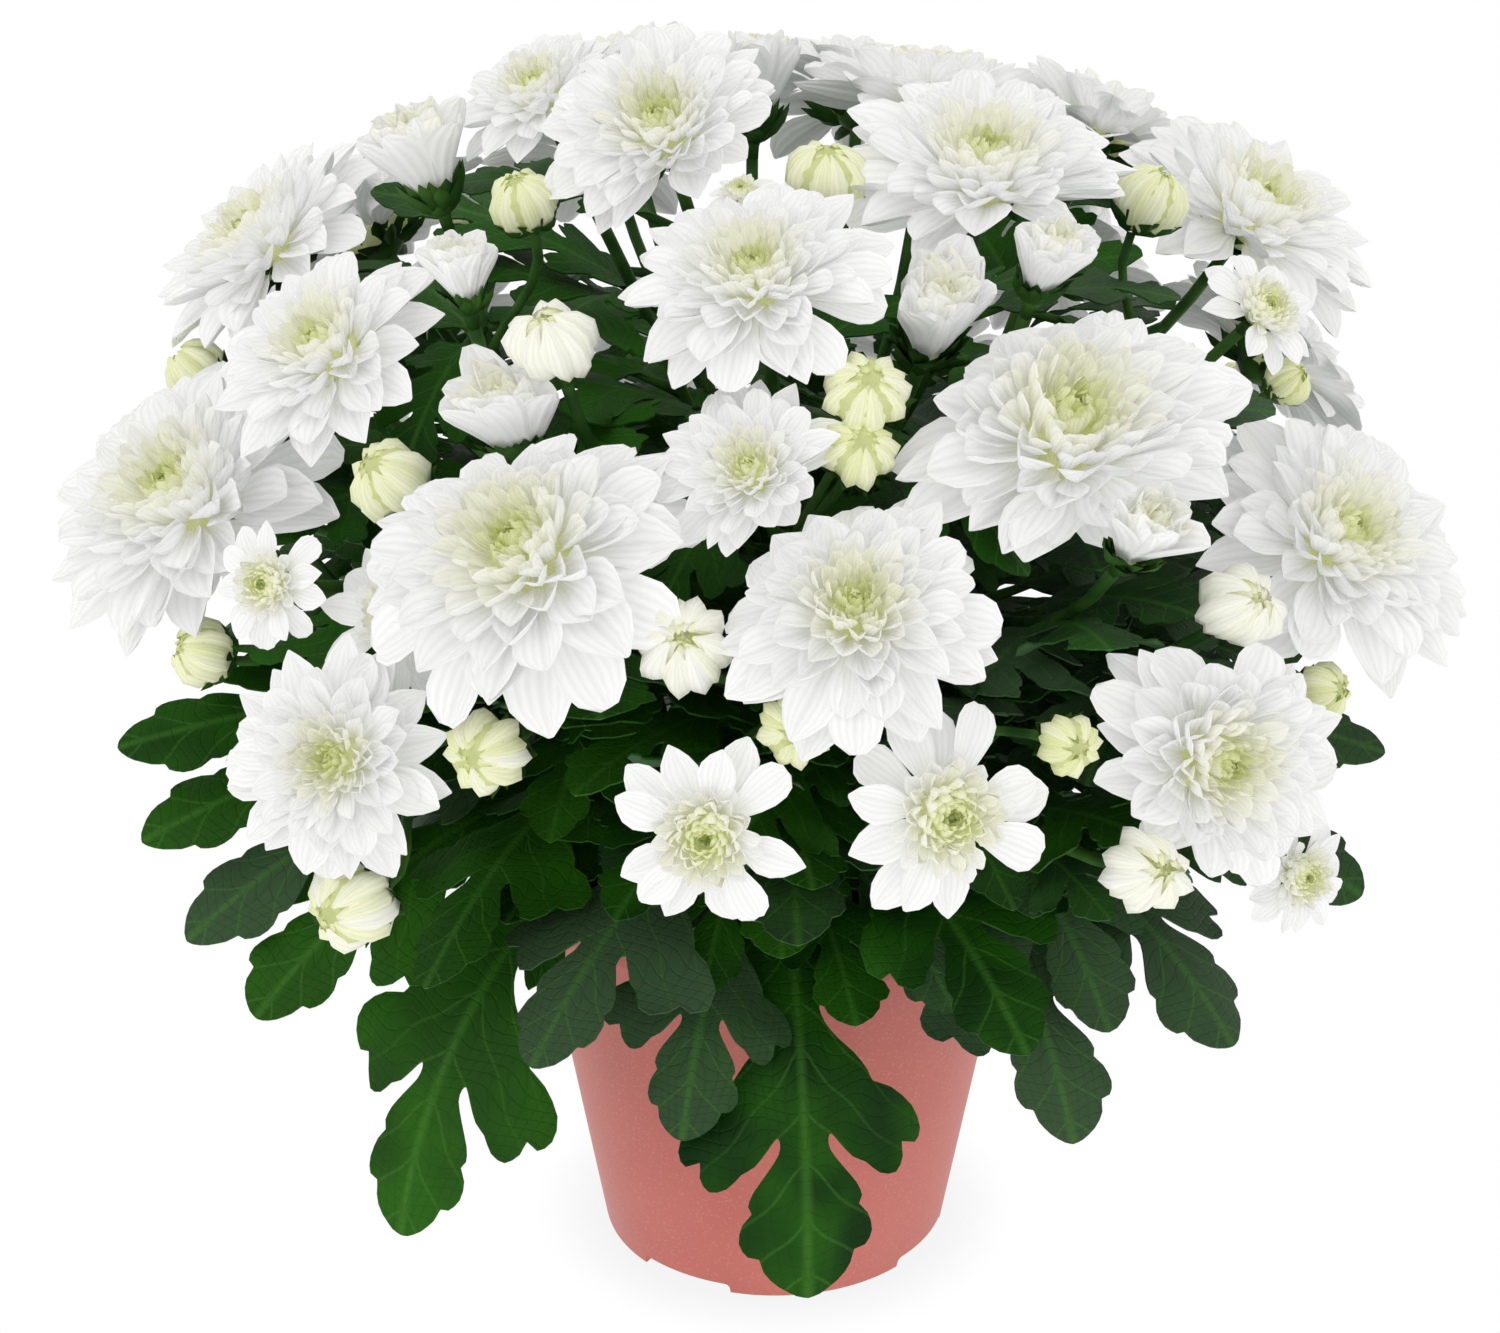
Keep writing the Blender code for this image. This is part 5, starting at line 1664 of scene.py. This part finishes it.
def makePot():
    sizes = potSizes
    rim, band, neck, foot = (sizes[key] for key in ("rim", "band", "neck", "foot"))
    wall, floor, top, corner = (sizes[key] for key in ("wall", "floor", "height", "corner"))
    inner = innerWall()

    def edge(name, reach, height):
        return [(reach + x * mm, height + z * mm) for x, z in potEdges[name]]

    rings = [(0, floor), (0.5 * foot, floor), (foot - sizes["footWidth"], floor), *edge("foot", foot, 0)]
    for share in (0.25, 0.5, 0.75, 0.99):
        rings.append((foot + (neck - foot) * share, corner + (band - corner) * share))
    rings += [(neck + 0.15 * mm, band + 0.05 * mm), *edge("band", rim, band), *edge("rim", rim, top),
              (neck - wall, band), (inner, floor + wall + corner), (inner - corner, floor + wall),
              (0.5 * foot, floor + wall), (0, floor + wall)]
    item = newObject("pot_fine", turnedMesh("pot_fine", rings, sizes["sides"]))
    cutters = []
    for bearing in sizes["notches"]:
        box = boxCutter(sizes["notchWidth"], sizes["notchDepth"], 2 * sizes["notchHeight"])
        cutter = newObject("notch", box)
        cutter.rotation_euler = (0, 0, math.radians(bearing))
        cutter.location = aim(bearing, 0) * foot
        cutters.append(cutter)
    for number in range(sizes["drains"]):
        cutter = newObject("drain", roundCutter(sizes["drainRadius"], sizes["drainCut"], 32))
        way = 360 / sizes["drains"] * number + sizes["drainTurn"]
        cutter.location = aim(way, 0) * sizes["drainReach"]
        cutters.append(cutter)
    cutAway(item, cutters)
    coat(item, potSkin)
    item.data.shade_smooth()
    item.data.set_sharp_from_angle(angle=math.radians(40))
    return item


potPiece = makePot()
print("pot made", len(potPiece.data.polygons), "faces")


# Soil: an uneven bed with crumbs on it, and a hole for each main stem.

soilSizes = {
    "edge": 90 * mm, "crown": 94 * mm, "holeRadius": 3.5 * mm, "rows": 26, "sides": 120,
    "unevenness": 1.5 * mm, "lumps": 140, "crumbs": 26000.0, "clear": 5.2 * mm,
    "smallest": 0.5 * mm, "largest": 1.7 * mm, "kinds": 4, "seed": 12, "strewn": 5,
    "rim": 1.8 * mm, "fade": 4 * mm, "step": 0.1 * mm,
}


def crumbMesh(name, dice):  # a small angular lump of radius 1
    bm = bmesh.new()
    bmesh.ops.create_icosphere(bm, subdivisions=1, radius=1.0)
    for vertex in bm.verts:
        vertex.co *= dice.uniform(0.6, 1.1)
        vertex.co.z *= 0.75
    return meshFrom(bm, name)


def makeCrumbTree():  # crumbs strewn over the faces of a bed
    tree, given = newTree("strewn_crumbs", Crumbs="Collection", Skin="Material", Seed="Int",
                          Density="Float", Smallest="Float", Largest="Float")
    bare = put(tree, "GeometryNodeInputNamedAttribute", {"Name": "bare"}, data_type="FLOAT").outputs[0]
    points = put(tree, "GeometryNodeDistributePointsOnFaces", {
        "Mesh": given["Geometry"], "Density": times(tree, bare, given["Density"]), "Seed": given["Seed"],
    }).outputs[0]
    turn = put(tree, "FunctionNodeRandomValue", {0: (0, 0, 0), 1: (6.28, 6.28, 6.28), 8: given["Seed"]},
               data_type="FLOAT_VECTOR").outputs[0]
    turn = put(tree, "FunctionNodeEulerToRotation", {0: turn}).outputs[0]
    share = put(tree, "FunctionNodeRandomValue", {2: 0.0, 3: 1.0, 8: plus(tree, given["Seed"], 1.0)},
                data_type="FLOAT").outputs[1]
    size = blendOf(tree, given["Smallest"], given["Largest"], calc(tree, "POWER", share, 3.0))
    placed = put(tree, "GeometryNodeInstanceOnPoints", {
        "Points": points, "Instance": partsOf(tree, given["Crumbs"]), "Pick Instance": True,
        "Rotation": turn, "Scale": size,
    }).outputs[0]
    return endTree(tree, given, put(tree, "GeometryNodeRealizeInstances", {0: placed}).outputs[0])


def makeSoil():
    sizes = soilSizes
    pot = potSizes
    floor = pot["floor"] + pot["wall"] + gap
    innerFoot = innerWall() - 2 * gap
    slope = (pot["neck"] - pot["wall"] - 2 * gap - innerFoot) / (pot["band"] - floor)
    edge = innerFoot + slope * (sizes["edge"] - floor)
    rings = [(0, floor), (innerFoot, floor), (edge, sizes["edge"])]
    for row in range(1, sizes["rows"]):
        share = 1 - row / sizes["rows"]
        rings.append((edge * share, sizes["crown"] - (sizes["crown"] - sizes["edge"]) * share**2))
    rings.append((0, sizes["crown"]))
    mesh = turnedMesh("soil_fine", rings, sizes["sides"])
    for vertex in mesh.vertices:
        reach = vertex.co.xy.length
        if vertex.co.z > sizes["edge"] + sizes["step"]:
            lump = fractal(vertex.co * sizes["lumps"], 0.9, 2.0, 4)
            vertex.co.z += sizes["unevenness"] * lump * min(1, (edge - reach) / sizes["fade"])
    item = newObject("soil_fine", mesh)
    feet = [plant.axis[0] for plant in plants]
    cutters = []
    for foot in feet:
        depth = 3 * growth["holeDepth"]
        cutter = newObject("hole", roundCutter(sizes["holeRadius"], depth, 24))
        cutter.location = (foot.x, foot.y, sizes["crown"] - growth["holeDepth"] - gap + depth / 2)
        cutters.append(cutter)
    cutAway(item, cutters)
    bed = item.data
    bare = bed.attributes.new("bare", "FLOAT", "POINT")
    for vertex, value in zip(bed.vertices, bare.data):
        near = min((vertex.co.xy - foot.xy).length for foot in feet)
        top = vertex.co.z > sizes["edge"] - sizes["step"] and vertex.co.xy.length < edge - sizes["rim"]
        value.value = float(top and near > sizes["clear"])
    shelf = bpy.data.collections.new("shelf_crumbs")
    dice = random.Random(sizes["seed"])
    for number in range(sizes["kinds"]):
        shelf.objects.link(bpy.data.objects.new("crumb_%d" % number, crumbMesh("crumb", dice)))
    coat(item, soilSkin)
    addNodes(item, "crumbs", makeCrumbTree(), {
        "Crumbs": shelf, "Skin": soilSkin, "Seed": sizes["strewn"], "Density": sizes["crumbs"],
        "Smallest": sizes["smallest"], "Largest": sizes["largest"],
    })
    baked(item)
    return item


soilPiece = makeSoil()
print("soil made", len(soilPiece.data.polygons), "faces")


# Each fine piece takes the place of its solid.

pieces = [(item, name, "petals") for name, item in blooms.items()]
pieces += [(potPiece, "pot", "pot"), (soilPiece, "soil", "soil")]
for plant in plants:
    for made, slot in ((leafPieces, "leaves"), (stemPieces, "leaves"), (budPieces, "petals")):
        pieces.append((made[plant.name], "leafy_stem_" + plant.name, slot))
for item, node, slot in pieces:
    if item:  # a stem may bear no bud
        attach(item, "root")
        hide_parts(node)
print("pieces placed")


# Camera, floor and light.

cameraSizes = {"distance": 0.75, "rise": 24.0, "target": (-0.006, 0.0, 0.1455),
               "sensor": 36, "lens": 77.76}


def makeCamera():
    sizes = cameraSizes
    lens = bpy.data.cameras.new("camera")
    lens.sensor_width = sizes["sensor"]
    lens.lens = sizes["lens"]
    camera = bpy.data.objects.new("camera", lens)
    scene.collection.objects.link(camera)
    back = -aim(180, -sizes["rise"])
    camera.location = Vector(sizes["target"]) + back * sizes["distance"]
    camera.rotation_euler = (-back).to_track_quat("-Z", "Y").to_euler()
    scene.camera = camera


allRound = 0.65  # the light from every side
lightColour = (1.0, 0.995, 0.98, 1)
softBoxes = {  # the way to the middle of each, its strength and how closely it is gathered
    "key": ((-0.45, -0.75, 0.60), 0.65, 5.0),
    "fill": ((0.60, -0.80, 0.10), 0.25, 3.0),
    "top": ((0.0, 0.2, 1.0), 0.35, 4.0),
}


def makeLights():
    world = bpy.data.worlds.new("studio")
    world.cycles.sampling_method = "NONE"
    tree = nodesOf(world)
    way = put(tree, "ShaderNodeTexCoord").outputs["Generated"]
    strength = allRound
    for middle, power, gather in softBoxes.values():
        ways = {0: way, 1: Vector(middle).normalized()}
        facing = put(tree, "ShaderNodeVectorMath", ways, operation="DOT_PRODUCT").outputs["Value"]
        glow = calc(tree, "POWER", calc(tree, "MAXIMUM", facing, 0.0), gather)
        strength = scaled(tree, glow, power, strength)
    sky = tree.nodes["Background"]
    sky.inputs["Color"].default_value = lightColour
    tree.links.new(strength, sky.inputs["Strength"])
    scene.world = world


# the floor's tones: grey near the pot's foot, a painted contact shadow, and white further out
floorLook = {"half": 40.0, "scale": 10.0, "tones": [(0.40, (0.90, 0.90, 0.90)), (0.62, white)]}


def makeFloor():  # a white light table, a little darker under the pot's foot
    look = floorLook
    half = look["half"]
    corners = [(-half, -half, 0), (half, -half, 0), (half, half, 0), (-half, half, 0)]
    mesh = newMesh("floor", corners, [(0, 1, 2, 3)])
    floor = bpy.data.objects.new("floor", mesh)
    scene.collection.objects.link(floor)
    material = bpy.data.materials.new("pale_floor")
    tree = nodesOf(material)
    tree.nodes.remove(tree.nodes["Principled BSDF"])
    place = put(tree, "ShaderNodeTexCoord").outputs["Object"]
    reach = put(tree, "ShaderNodeVectorMath", {0: place}, operation="LENGTH").outputs["Value"]
    # painted shadow: the floor's light is dimmer close to the pot's foot
    tone = ramp(tree, times(tree, reach, look["scale"]), look["tones"])
    glow = put(tree, "ShaderNodeEmission", {"Color": tone, "Strength": 1.0}).outputs[0]
    tree.links.new(glow, tree.nodes["Material Output"].inputs["Surface"])
    material.cycles.emission_sampling = "NONE"
    mesh.materials.append(material)


makeCamera()
makeLights()
makeFloor()
scene.view_settings.view_transform = "Standard"
